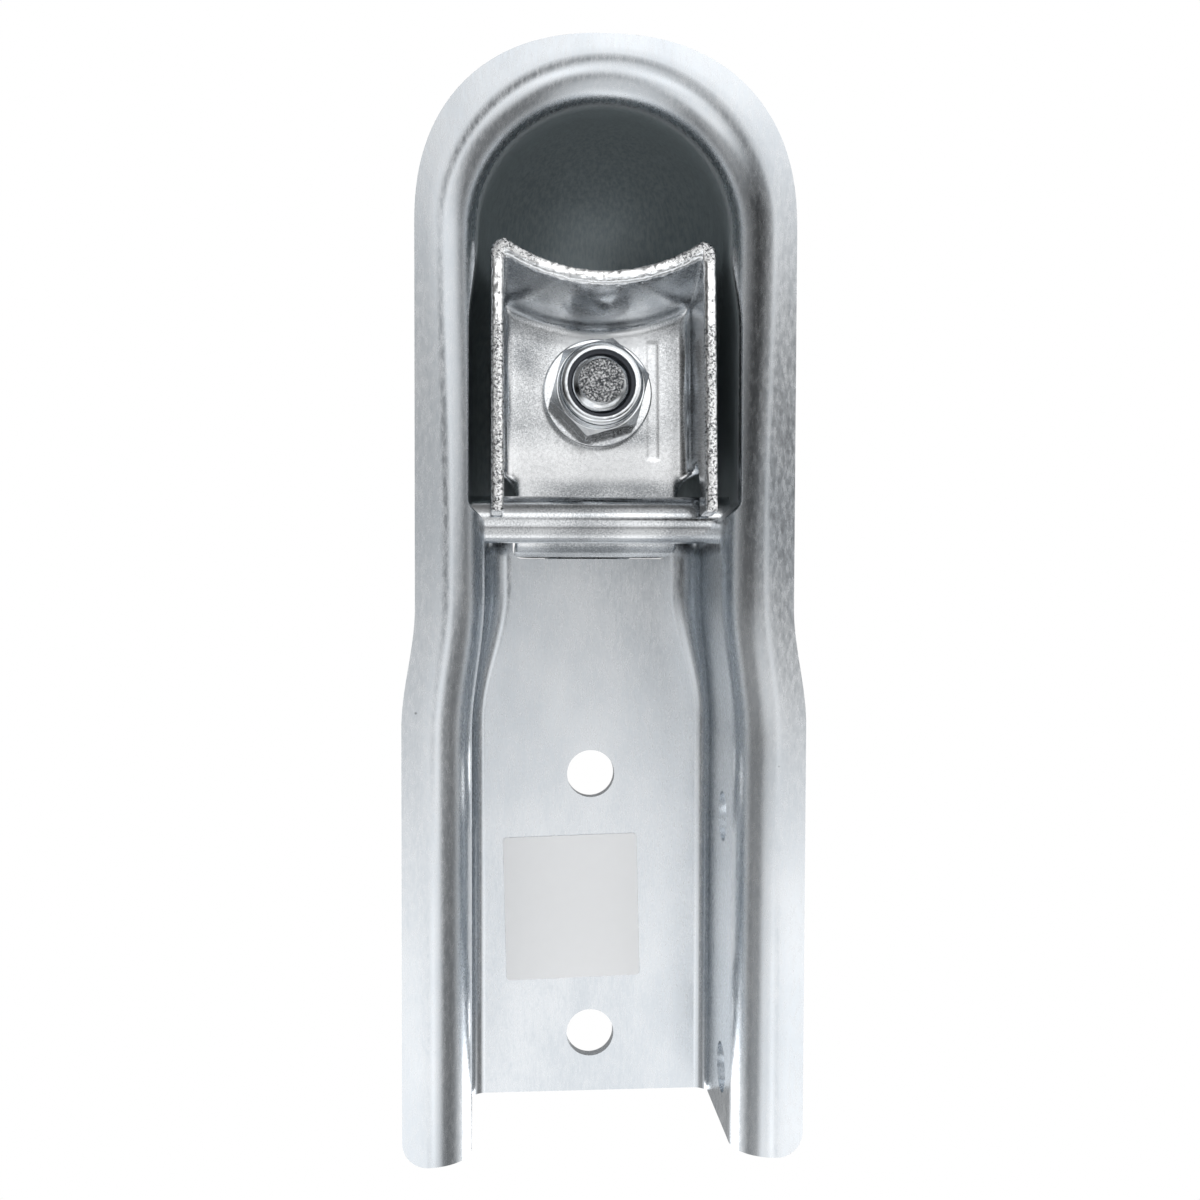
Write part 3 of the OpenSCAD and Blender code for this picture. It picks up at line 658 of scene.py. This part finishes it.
cut(shell, *cutters)
bm = bmesh.new()
bm.from_mesh(shell.data)
bmesh.ops.remove_doubles(bm, verts=bm.verts, dist=SEAM * MM)
bmesh.ops.holes_fill(bm, edges=[e for e in bm.edges if e.is_boundary], sides=0)
print("open edges left by the cuts:", sum(e.is_boundary for e in bm.edges))
bm.to_mesh(shell.data)
bm.free()
edge_softened(shell, width=0.45, segments=3, angle=60)
finished(shell, "shell", "body_zinc", satin_zinc, "coupler_body")

# %% [markdown]
# ## The ball clamp
#
# The clamp is bent and drawn from thinner sheet: a flat web, a wing down each side, a dished
# front wall whose lip follows the ball, and a tail that hooks up into the roof's slot. The
# packed solid has that form already, with knife-sharp corners. So its mesh is copied and turned
# into its own frame, with the cross pin's axis at zero and the web level, because there its
# flat faces lie along the squares of a remesh and stay flat.

# %% Copy the packed clamp into its own frame
BOLT_REACH, SQUARE, MELTED = 26.5, 0.36, 5
clamp_frame = Matrix.Translation((0, PIN_Y, PIN_Z)) @ Matrix.Rotation(radians(-REST_TILT), 4, "X")
bolt_frame = clamp_frame @ Matrix.Translation((0, -BOLT_REACH, 0))


def copied(node, place):
    """The packed piece's own mesh in millimetres, its loose triangles merged, moved by a matrix."""
    bm = bmesh.new()
    bm.from_mesh(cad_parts[node].data)
    bmesh.ops.scale(bm, vec=(1 / MM, 1 / MM, 1 / MM), verts=bm.verts)
    bmesh.ops.remove_doubles(bm, verts=bm.verts, dist=JOINED)
    bmesh.ops.transform(bm, matrix=place, verts=bm.verts)
    print(node, "copied with", len(bm.faces), "triangles")
    return into_object(node + " copy", bm)


def even_squares(obj, size, rounds):
    """Remeshes the object into squares of a size in millimetres and melts its corners a little."""
    squares = obj.modifiers.new("even squares", "REMESH")
    squares.mode, squares.voxel_size = "VOXEL", size * MM
    settle(obj)
    bm = bmesh.new()
    bm.from_mesh(obj.data)
    bpy.data.objects.remove(obj)
    bmesh.ops.scale(bm, vec=(1 / MM, 1 / MM, 1 / MM), verts=bm.verts)
    for _ in range(rounds):
        bmesh.ops.smooth_vert(bm, verts=bm.verts, factor=0.5,
                              use_axis_x=True, use_axis_y=True, use_axis_z=True)
    bm.normal_update()
    return bm


clamp_mesh = even_squares(copied("ball_clamp", clamp_frame.inverted()), SQUARE, MELTED)
print("clamp:", len(clamp_mesh.faces), "squares")

# %% [markdown]
# The sheared rims of the wings and the lip are roughened by moving their points with a fixed
# noise, and the shallow strip that the press tool left beside the nut is pushed into the web.

# %% Roughen the clamp's rims and press its strip
STRIP_X, STRIP_HALF, STRIP_FRONT, STRIP_REAR = 11.6, 1.35, -38.0, -13.0
STRIP_DEEP, STRIP_EDGE = 0.10, 0.5
RAGGED_HIGH, RAGGED_DEEP, BROAD, NARROW = 0.9, 0.10, 1.3, 3.1
for vert in clamp_mesh.verts:
    x, y, z = vert.co
    if z < WING_LOW + RAGGED_HIGH:
        rough = noise.noise(Vector((x, y, z)) * BROAD) + 0.6 * noise.noise(Vector((x, y, z)) * NARROW)
        vert.co += vert.normal * RAGGED_DEEP * rough
    if abs(z - WEB_LOW) < 0.25:
        reach = max(abs(x - STRIP_X) - STRIP_HALF, STRIP_FRONT - y, y - STRIP_REAR)
        vert.co.z += STRIP_DEEP * min(1.0, max(0.0, -reach / STRIP_EDGE))
bmesh.ops.transform(clamp_mesh, matrix=clamp_frame, verts=clamp_mesh.verts)
clamp = into_object("clamp", clamp_mesh)
finished(clamp, "clamp", "bright_zinc", torn_zinc, "ball_clamp")

# %% [markdown]
# ## Pin, bolt, nut and washer
#
# These are turned parts, so each is one profile spun about its own axis. The pin is a plain bar
# whose ends have a small rounded chamfer, drawn for one end and mirrored for the other.

# %% The cross pin
PAST_THE_WALL = 1.2
reach = POCKET + SHEET + PAST_THE_WALL
pin_profile = [(0, -reach), (PIN_D / 2 - 1.0, -reach), (PIN_D / 2 - 0.25, -reach + 0.45),
               (PIN_D / 2, -reach + 1.1)]
pin_profile += [(PIN_D / 2, reach * i / 6) for i in range(-5, 6)]
pin_profile += [(r, -z) for r, z in pin_profile[3::-1]]
pin = edge_softened(spun("pin", pin_profile, crosswise(PIN_Y, PIN_Z)), width=0.15)
finished(pin, "shell", "bright_zinc", worn_zinc, "cross_pin")

# %% [markdown]
# A thread could be a Screw modifier on a tooth, which leaves seams to close. Here a circle is
# extruded up the bolt in fine steps instead, and then each point's radius follows from its
# angle and height, so the ridge winds round as one skin and fades out at both ends.

# %% The bolt's thread
BOLT_D, PITCH, THREAD_DEEP, THREAD_TOP, THREAD_STEPS, STEPS_A_PITCH = 11.9, 1.75, 0.85, 26.0, 48, 8
RIDGE, FLANK, RUNOUT, TIP_L, TIP_SLOPE = 1.35, 3.4, 2.5, 1.45, 0.9
bm = bmesh.new()
ring = bmesh.ops.create_circle(bm, cap_ends=False, radius=BOLT_D / 2, segments=THREAD_STEPS)["verts"]
bmesh.ops.translate(bm, vec=(0, 0, BOLT_END), verts=ring)
edges = bm.edges[:]
z = BOLT_END
while z < THREAD_TOP:
    z += PITCH / STEPS_A_PITCH
    grown = bmesh.ops.extrude_edge_only(bm, edges=edges)["geom"]
    fresh = [v for v in grown if isinstance(v, bmesh.types.BMVert)]
    edges = [e for e in grown if isinstance(e, bmesh.types.BMEdge) and all(v in fresh for v in e.verts)]
    for vert in fresh:
        vert.co.z = z


def thread_radius(angle, z):
    """Radius of the thread: a ridge once a pitch, fading out at the tip and at the runout."""
    phase = (z / PITCH - angle / (2 * pi)) % 1.0
    ridge = min(1.0, max(0.0, RIDGE - abs(phase - 0.5) * FLANK))
    fade = min(1.0, max(0.0, (THREAD_TOP - z) / RUNOUT))
    tip = max(0.0, BOLT_END + TIP_L - z)
    return BOLT_D / 2 - THREAD_DEEP * (1 - ridge) * fade - tip * TIP_SLOPE


for vert in bm.verts:
    r = thread_radius(atan2(vert.co.y, vert.co.x), vert.co.z)
    vert.co.xy = vert.co.xy.normalized() * r
rims = [e for e in bm.edges if e.is_boundary]
bmesh.ops.holes_fill(bm, edges=rims, sides=0)
bmesh.ops.recalc_face_normals(bm, faces=bm.faces)
bmesh.ops.transform(bm, matrix=bolt_frame, verts=bm.verts)
threaded = into_object("bolt", bm)
print("thread:", len(threaded.data.polygons), "faces")

# %% [markdown]
# The bolt's other end is an eye for the lever's pin, forged in one with the shank. A plain shank
# and a short round eye are joined to the thread by a Boolean, and the eye is drilled last.

# %% The bolt's shank and eye
EYE_Z, EYE_R, EYE_HALF, EYE_CHAMFER, LEVER_PIN_D, EYE_ROOM = 38.035, 8.0, 6.0, 0.8, 8.0, 0.1
eye_turn = bolt_frame @ Matrix.Translation((0, 0, EYE_Z)) @ Matrix.Rotation(pi / 2, 4, "Y")
shank_low, shank_high = THREAD_TOP - 0.6, EYE_Z - EYE_R / 2
shank_profile = [(0, shank_low), (BOLT_D / 2, shank_low), (BOLT_D / 2, shank_high), (0, shank_high)]
shank = spun("shank", shank_profile, bolt_frame, COARSE)
half_eye = [(0, -EYE_HALF), (EYE_R - EYE_CHAMFER, -EYE_HALF), (EYE_R, EYE_CHAMFER - EYE_HALF)]
eye = spun("eye", half_eye + [(r, -z) for r, z in half_eye[::-1]], eye_turn, COARSE)
cut(threaded, shank, eye, operation="UNION")
cut(threaded, rod("eye hole", LEVER_PIN_D + EYE_ROOM, 2 * THROUGH, eye_turn))
edge_softened(threaded, width=0.12, angle=40)
finished(threaded, "bolt", "bright_zinc", sawn_zinc, "eye_bolt")

# %% [markdown]
# The nut is a hexagon with chamfered corners and a round collar below it. A six-sided prism is
# kept where it lies inside a spun chamfer, the collar is joined to it, and one spun cutter makes
# the bore and the groove that holds the plastic insert.

# %% The lock nut
NUT_Z, NUT_H, NUT_AF, NUT_TURN, SKIRT, BOLT_ROOM = -8.0, 10.5, 18.0, 15.0, 1.6, 0.05
COLLAR_H, COLLAR_STEP, COLLAR_ROUND, COLLAR_STEPS, INSERT_WALL = 3.4, 0.5, 1.2, 6, 1.25
collar_r, skirt_r, insert_r = NUT_AF / 2 - COLLAR_STEP, NUT_AF / 2 + SKIRT, BOLT_D / 2 + INSERT_WALL
bore, corner_r = BOLT_D / 2 + BOLT_ROOM, NUT_AF / 2 / cos(pi / 6)
nut_frame = bolt_frame @ Matrix.Translation((0, 0, NUT_Z))
bm = bmesh.new()
bmesh.ops.create_cone(bm, cap_ends=True, segments=6, radius1=corner_r, radius2=corner_r,
                      depth=NUT_H - COLLAR_H)
bmesh.ops.translate(bm, vec=(0, 0, (NUT_H + COLLAR_H) / 2), verts=bm.verts)
bmesh.ops.transform(bm, matrix=nut_frame @ Matrix.Rotation(radians(NUT_TURN), 4, "Z"), verts=bm.verts)
nut = into_object("nut", bm)
chamfer_profile = [(0, COLLAR_H - 0.1), (NUT_AF / 2 - 0.3, COLLAR_H - 0.1), (skirt_r, COLLAR_H + 1.1),
                   (skirt_r, NUT_H - 0.6), (skirt_r - 1.1, NUT_H + 0.1), (0, NUT_H + 0.1)]
cut(nut, spun("chamfer", chamfer_profile, nut_frame, FINE), operation="INTERSECT")
collar_profile = [(0, COLLAR_H + 0.8), (collar_r, COLLAR_H + 0.8)]
for i in range(COLLAR_STEPS + 1):
    a = pi / 2 * i / COLLAR_STEPS
    collar_profile.append((collar_r - COLLAR_ROUND * (1 - cos(a)), COLLAR_ROUND * (1 - sin(a))))
collar_profile.append((0, 0))
cut(nut, spun("collar", collar_profile, nut_frame, FINE), operation="UNION")
bore_profile = [(0, -1), (insert_r - 0.1, -1), (insert_r - 0.5, 0.35), (insert_r - 0.5, 0.7),
                (insert_r + 0.05, 0.7), (insert_r + 0.05, 3.3), (bore, 3.3), (bore, NUT_H + 1),
                (0, NUT_H + 1)]
cut(nut, spun("bore", bore_profile, nut_frame, FINE))
edge_softened(nut, width=0.3, segments=3, angle=30)
finished(nut, "bolt", "bright_zinc", bright_zinc, "lock_nut")

# %% [markdown]
# The washer and the insert are plain rings. The insert is nylon: dark, matt and slightly grainy,
# so it needs no metal and only a weak reflection.

# %% The washer and the insert
WASHER_Z, WASHER_T, WASHER_R, WASHER_BORE, INSERT_LOW, INSERT_TOP = 2.5, 2.5, 11.25, 6.25, 0.75, 3.25
NYLON_DARK, NYLON_LIGHT = (0.03, 0.035, 0.045, 1), (0.06, 0.065, 0.08, 1)


def ring_piece(name, inner, outer, low, top, place, steps):
    return spun(name, [(inner, low), (outer, low), (outer, top), (inner, top)], place, steps)


washer = ring_piece("washer", WASHER_BORE, WASHER_R, WASHER_Z, WASHER_Z + WASHER_T, bolt_frame, FINE)
edge_softened(washer, width=0.35, segments=3)
finished(washer, "bolt", "bright_zinc", worn_zinc, "flat_washer")

nylon = Finish("nylon", Roughness=0.55, Specular_IOR_Level=0.4)
mottle = nylon.noise(nylon.place, 900.0)
nylon.join("Base Color", nylon.mix_colour(mottle, NYLON_DARK, NYLON_LIGHT))
nylon.join("Normal", nylon.bump(mottle, strength=0.4, distance=0.05))
insert = ring_piece("insert", bore, insert_r, INSERT_LOW, INSERT_TOP, nut_frame, AROUND)
edge_softened(insert, width=0.2)
finished(insert, "bolt", "nylon", nylon.material, "nut_insert")

# %% [markdown]
# ## The release spring
#
# A coil spring is a small circle carried round and up at once. Spin does just that when it is
# given a rise as well as an angle, so the wire's circle is spun in short runs: a flat end
# turn, the rising coils and a flat end turn again.

# %% Spin the spring
WIRE_R, COIL_R, TURNS, END_TURN = 0.9, 8.5, 3.5, 0.75
ROOF_UP, WEB_ROOM, ROOF_ROOM, STEPS_A_TURN = 18.445, 0.1, 0.15, 40
end_rise = 1.2 * WIRE_R
spring_low = WEB_TOP + WEB_ROOM + WIRE_R
spring_high = ROOF_UP - COIL_R * tan(radians(REST_TILT)) - WIRE_R - ROOF_ROOM
bm = bmesh.new()
first_circle = Matrix.Translation((COIL_R, 0, spring_low)) @ Matrix.Rotation(pi / 2, 4, "X")
bmesh.ops.create_circle(bm, cap_ends=True, radius=WIRE_R, segments=16, matrix=first_circle)
geom = bm.verts[:] + bm.edges[:] + bm.faces[:]
coils = (TURNS - 2 * END_TURN, spring_high - spring_low - 2 * end_rise)
for turns, rise in ((END_TURN, end_rise), coils, (END_TURN, end_rise)):
    steps = round(STEPS_A_TURN * turns)
    geom = bmesh.ops.spin(bm, geom=geom, cent=(0, 0, 0), axis=(0, 0, 1), angle=2 * pi * turns,
                          steps=steps, dvec=(0, 0, rise / steps))["geom_last"]
bmesh.ops.remove_doubles(bm, verts=bm.verts, dist=SAME_POINT)
bmesh.ops.recalc_face_normals(bm, faces=bm.faces)
bmesh.ops.transform(bm, matrix=bolt_frame, verts=bm.verts)
spring = into_object("spring", bm)
spring.data.materials.append(bright_zinc)
spring.data.shade_smooth()
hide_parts("release_spring")
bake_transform(spring)
print("spring:", len(spring.data.polygons), "faces")

# %% [markdown]
# ## The cam lever
#
# The lever is folded from sheet into a channel: two side plates with the cam feet, a top strip,
# and a wider thumb end. Each plate is one outline with rounded corners, pushed out to the
# sheet's thickness. The cam's outline is worked out from the lever's turn: the foot bears on
# the roof at each angle while the bolt goes down in proportion.

# %% The lever's side plates
LEVER_Y, LEVER_Z, CAM_BASE, CLOSED_H, CAM_DROP, THROW = 32.2675, 43.9, 6.1116, 16.5, 8.0, 75.0
LEVER_IN, LEVER_T, LEVER_LEN, CAM_GAP, CAM_STEPS = 6.4, 2.8, 72.0, 0.05, 15
FOOT_L, FRONT_L, LEVER_TOP, BELLY_Z, THUMB_L = 7.0, 13.5, 11.3, -11.5, 16.0
NOSE_Y, CREST_Y, ARM_Y, ARM_Z = -5, 12, 26.0, 1.5
lever_half = LEVER_IN + LEVER_T
thumb_y = LEVER_LEN - THUMB_L
lever_frame = Matrix.Translation((0, LEVER_Y, LEVER_Z))


def plate(name, outline, start, depth, place=Matrix(), corner=2.5):
    """A face of (y, z) points with its lone corners rounded, pushed out along X by depth."""
    bm = bmesh.new()
    bm.faces.new([bm.verts.new((start, y, z)) for y, z in outline])
    lone = [v for v in bm.verts if min(e.calc_length() for e in v.link_edges) > 2 * corner]
    bmesh.ops.bevel(bm, geom=lone, offset=corner, segments=6, profile=0.5, affect="VERTICES",
                    material=-1)
    pushed = bmesh.ops.extrude_face_region(bm, geom=bm.faces[:])["geom"]
    pushed_verts = [v for v in pushed if isinstance(v, bmesh.types.BMVert)]
    bmesh.ops.translate(bm, vec=(depth, 0, 0), verts=pushed_verts)
    bmesh.ops.recalc_face_normals(bm, faces=bm.faces)
    bmesh.ops.transform(bm, matrix=place, verts=bm.verts)
    return into_object(name, bm)


def cam_point(a):
    """Where the cam bears on the roof once the lever has turned by a degrees."""
    h, t = CLOSED_H - CAM_GAP - CAM_DROP * a / THROW, radians(a)
    return CAM_BASE * cos(t) - h * sin(t), -h * cos(t) - CAM_BASE * sin(t)


t = radians(THROW)
last = cam_point(THROW)
front = (last[0] - FRONT_L * cos(t), last[1] + FRONT_L * sin(t))
over_line = [(NOSE_Y, LEVER_TOP), (CREST_Y, LEVER_TOP), (ARM_Y, ARM_Z), (thumb_y, ARM_Z - 2.5)]
under_line = [(LEVER_LEN - 6, 3.5), (LEVER_LEN - 8, 0.5), (thumb_y - 1, -6), (ARM_Y + 4, BELLY_Z + 1.5),
              (CAM_BASE + FOOT_L + 6, BELLY_Z)]
side_outline = [(CAM_BASE + FOOT_L, CAM_GAP - CLOSED_H)]
side_outline += [cam_point(THROW * i / CAM_STEPS) for i in range(CAM_STEPS + 1)]
side_outline += [front] + over_line + under_line
lever = plate("lever", side_outline, LEVER_IN, LEVER_T, lever_frame)
far_side = plate("far side", side_outline, -lever_half, LEVER_T, lever_frame)
print("side plates:", len(side_outline), "points, half width", lever_half, "mm")

# %% [markdown]
# The strip that joins the plates is one bent outline pushed right across. The thumb end is the
# same outline pushed wider, and kept only where it lies inside a tapered shape seen from above.

# %% The lever's top strip and thumb end
THUMB_W, TAPER, THUMB_CUT, TIP_CUT, SIDE_CUT, TALL, PIVOT_ROOM = 30.0, 10, 6, 1.5, 2, 30, 0.2
strip_line = over_line + [(LEVER_LEN, 7)]
strip_outline = strip_line + [(y, z - LEVER_T) for y, z in strip_line[::-1]]
strip = plate("strip", strip_outline, -lever_half, 2 * lever_half, lever_frame)
thumb = plate("thumb", strip_outline, -THUMB_W / 2, THUMB_W, lever_frame)
half_thumb = [(lever_half, thumb_y - TAPER), (THUMB_W / 2, LEVER_LEN - THUMB_CUT),
              (THUMB_W / 2 - SIDE_CUT, LEVER_LEN - TIP_CUT), (THUMB_W / 2 - THUMB_CUT, LEVER_LEN)]
bm = bmesh.new()
outline = [(-lever_half, thumb_y - TAPER)] + half_thumb + [(-x, y) for x, y in half_thumb[:0:-1]]
bm.faces.new([bm.verts.new((x, y, -TALL)) for x, y in outline])
pushed = bmesh.ops.extrude_face_region(bm, geom=bm.faces[:])["geom"]
pushed_verts = [v for v in pushed if isinstance(v, bmesh.types.BMVert)]
bmesh.ops.translate(bm, vec=(0, 0, 2 * TALL), verts=pushed_verts)
bmesh.ops.recalc_face_normals(bm, faces=bm.faces)
bmesh.ops.transform(bm, matrix=lever_frame, verts=bm.verts)
cut(thumb, into_object("thumb outline", bm), operation="INTERSECT")
cut(lever, far_side, strip, thumb, operation="UNION")
pin_turn = lever_frame @ Matrix.Rotation(pi / 2, 4, "Y")
cut(lever, rod("pivot", LEVER_PIN_D + PIVOT_ROOM, 3 * THROUGH, pin_turn))
edge_softened(lever, width=0.55, segments=3, angle=25)
finished(lever, "lever", "bright_zinc", bright_zinc, "latch_lever")

# %% [markdown]
# The pin through the lever is riveted: each end was hammered to a low dome, which is a short arc
# of a larger circle turned round the pin's axis.

# %% The riveted lever pin
DOME_SHARE, DOME_LOW, DOME_STEPS, HEAD_ROOM = 0.9, 0.64, 8, 0.2
dome_r, head = DOME_SHARE * LEVER_PIN_D, lever_half + HEAD_ROOM
low_by = DOME_LOW * dome_r
profile = [(0, head + dome_r - low_by)]
for i in range(1, DOME_STEPS + 1):
    a = acos(DOME_LOW) * i / DOME_STEPS
    profile.append((dome_r * sin(a), head + dome_r * cos(a) - low_by))
profile.append((LEVER_PIN_D / 2, head))
profile += [(r, -z) for r, z in profile[::-1]]
lever_pin = spun("lever_pin", profile, pin_turn, COARSE)
edge_softened(lever_pin, width=0.2)
finished(lever_pin, "bolt", "bright_zinc", bright_zinc, "lever_pin")

# %% [markdown]
# ## The sticker
#
# The channel's roof carries a plain white film sticker. It is a thin sheet with rounded corners;
# a flat plane would do for its face, but its edge shows as a fine line.

# %% Make the sticker
STICKER_W, STICKER_L, STICKER_T, CORNER = 29.2, 31.4, 0.2, 0.8
STICKER_X, STICKER_BEHIND, STICKER_TURN = -4.1, 0.6, -1.5
film = Finish("white_film", Roughness=0.42, Specular_IOR_Level=0.4)
fibre = film.noise(film.place, 420.0, detail=4.0)
film.join("Base Color", film.mix_colour(fibre, (0.93, 0.94, 0.95, 1), (0.965, 0.975, 0.985, 1)))
film.join("Normal", film.bump(fibre, strength=0.25, distance=0.02))
between_holes = ROOF_HOLE + ROOF_PITCH / 2 + STICKER_BEHIND
sticker_frame = Matrix.Translation((STICKER_X, between_holes, BALL_SEAT - STICKER_T / 2))
sticker_frame = sticker_frame @ Matrix.Rotation(radians(STICKER_TURN), 4, "Z")
sticker = slab("sticker", (STICKER_W, STICKER_L, STICKER_T), CORNER, 4, sticker_frame)
edge_softened(sticker, width=0.05)
finished(sticker, "shell", "sticker", film.material, "blank_sticker")

# %% [markdown]
# ## Floor, lamps and world
#
# The part stands on its flange on a pale floor. The photograph looks up from under it, so the
# floor shows only to a camera above it: seen from below, and to every other ray, it is clear. It
# lies a hair below the flange, because two faces in one plane would make a ray miss one of them.

# %% The floor
FLOOR_GAP, FLOOR_SIZE, FLOOR_Y = 0.15, 6.0, 0.08
FLOOR_DARK, FLOOR_LIGHT = (0.80, 0.80, 0.80, 1), (0.84, 0.84, 0.84, 1)
bpy.ops.mesh.primitive_plane_add(size=FLOOR_SIZE, location=(0, FLOOR_Y, -(DROP + FLOOR_GAP) * MM))
floor = bpy.context.object
floor.name = "floor"
floor_mat = Finish("pale_floor", Roughness=0.9)
speck = floor_mat.noise(floor_mat.place, 30.0)
floor_mat.join("Base Color", floor_mat.mix_colour(speck, FLOOR_DARK, FLOOR_LIGHT))
clear = floor_mat.add("BsdfTransparent").outputs["BSDF"]
path = floor_mat.add("LightPath")
below = floor_mat.add("NewGeometry").outputs["Backfacing"]
seen = floor_mat.math("MULTIPLY", path.outputs["Is Camera Ray"], floor_mat.math("SUBTRACT", 1.0, below))
choice = floor_mat.tree.nodes.new("ShaderNodeMixShader")
floor_mat.tree.links.new(seen, choice.inputs[0])
floor_mat.tree.links.new(clear, choice.inputs[1])
floor_mat.tree.links.new(floor_mat.shader.outputs["BSDF"], choice.inputs[2])
surface = floor_mat.tree.nodes["Material Output"].inputs["Surface"]
floor_mat.tree.links.new(choice.outputs["Shader"], surface)
floor.data.materials.append(floor_mat.material)
print("floor at", round(floor.location.z / MM, 2), "mm")

# %% [markdown]
# Two soft area lamps stand above and beside the part. They light its outside, which shows in
# views from above. The main view looks at the inside, which they hardly reach.

# %% The lamps


def lamp(name, place, aim, size, power):
    """A square soft lamp at a place in metres, turned towards its aim."""
    data = bpy.data.lights.new(name, "AREA")
    data.shape, data.size, data.energy = "SQUARE", size, power
    obj = bpy.data.objects.new(name, data)
    bpy.context.scene.collection.objects.link(obj)
    obj.location = place
    obj.rotation_euler = (Vector(aim) - Vector(place)).to_track_quat("-Z", "Y").to_euler()
    return obj


middle = (0.0, 0.07, 0.0)
lamp("over", (0.8, 0.5, 0.7), middle, size=0.9, power=6.0)
lamp("over left", (-0.9, 0.5, 0.6), middle, size=0.6, power=3.0)

# %% [markdown]
# The world is a plain light, a little stronger from below. What the metal mirrors is a studio
# with pale walls above and, under the part where the camera looks up, grey boards with soft
# reflectors and dark flags between them, as a photographer sets them to give bright metal its
# shape. Each is a soft round patch: a direction compared with the ray's direction.

# %% The patches of the studio
REFLECTORS = [
    ((0.08, 0.0, -1), 3, 12, 0.60), ((0.39, 0.0, -0.92), 4, 14, 0.54), ((0.05, 0.35, -0.94), 6, 20, 0.81),
    ((0.12, -0.34, -0.93), 5, 17, 1.20), ((-0.35, 0.40, -0.85), 8, 24, 0.86),
    ((-0.68, 0.38, -0.63), 8, 26, 0.24), ((0.38, 0.30, -0.87), 5, 18, 0.85),
    ((0.0, 0.95, -0.31), 12, 40, 0.59), ((0.55, -0.50, -0.67), 12, 40, 0.95)]
DARK_FLAGS = [
    ((0.23, -0.12, -0.97), 5, 13, -0.86), ((0.26, -0.01, -0.97), 4, 11, -0.72),
    ((-0.65, 0.0, -0.76), 8, 28, -0.18), ((0.0, 0.0, 1.0), 24, 40, -0.60)]
world = bpy.data.worlds.new("studio")
bpy.context.scene.world = world
world.use_nodes = True
tree = world.node_tree


def node(kind, inputs, **settings):
    """Adds a node to the world; an input is a plain value or another node's output."""
    made = tree.nodes.new("ShaderNode" + kind)
    for key, value in settings.items():
        setattr(made, key, value)
    for key, value in inputs.items():
        if isinstance(value, bpy.types.NodeSocket):
            tree.links.new(value, made.inputs[key])
        else:
            made.inputs[key].default_value = value
    return made


ray = node("TexCoord", {}).outputs["Generated"]


def between_levels(value, low, high, at_low, at_high):
    inputs = {"Value": value, "From Min": low, "From Max": high, "To Min": at_low, "To Max": at_high}
    return node("MapRange", inputs, interpolation_type="SMOOTHSTEP").outputs["Result"]


def patch(direction, inner, outer, amount):
    """A soft round patch, from inner to outer degrees off a direction; an amount below zero darkens."""
    axis = Vector(direction).normalized()
    near = node("VectorMath", {0: ray, 1: axis}, operation="DOT_PRODUCT").outputs["Value"]
    return between_levels(near, cos(radians(outer)), cos(radians(inner)), 0.0, amount)


patches = [patch(*row) for row in REFLECTORS + DARK_FLAGS]
print(len(REFLECTORS), "reflectors and", len(DARK_FLAGS), "dark flags")

# %% [markdown]
# The boards, the walls and all the patches are added up and kept at zero or more. The Light Path
# node then tells rays apart: those that metal mirrors see the studio, those that light matt
# surfaces see the plain light, and the camera sees white. A view transform of Standard keeps
# that white as it is.

# %% The world's levels
WALLS, LOW_BOARDS, FROM_BELOW, FROM_ABOVE = 0.85, 0.18, 1.05, 0.65
upward = node("SeparateXYZ", {"Vector": ray}).outputs["Z"]
mirrored = between_levels(upward, -0.35, 0.15, LOW_BOARDS, WALLS)
for amount in patches:
    mirrored = node("Math", {0: mirrored, 1: amount}, operation="ADD").outputs["Value"]
mirrored = node("Math", {0: mirrored, 1: 0.0}, operation="MAXIMUM").outputs["Value"]
plain = between_levels(upward, -0.4, 0.4, FROM_BELOW, FROM_ABOVE)
path = node("LightPath", {}).outputs
by_ray = {"Value": path["Is Glossy Ray"], "To Min": plain, "To Max": mirrored}
level = node("MapRange", by_ray).outputs["Result"]
either = {0: path["Is Camera Ray"], 1: path["Is Transmission Ray"]}
white = node("Math", either, operation="MAXIMUM").outputs["Value"]
level = node("MapRange", {"Value": white, "To Min": level, "To Max": 1.0}).outputs["Result"]
background = tree.nodes["Background"]
tree.links.new(level, background.inputs["Strength"])
background.inputs["Color"].default_value = (1, 1, 1, 1)
bpy.context.scene.view_settings.view_transform = "Standard"
print("the world has", len(tree.nodes), "nodes")
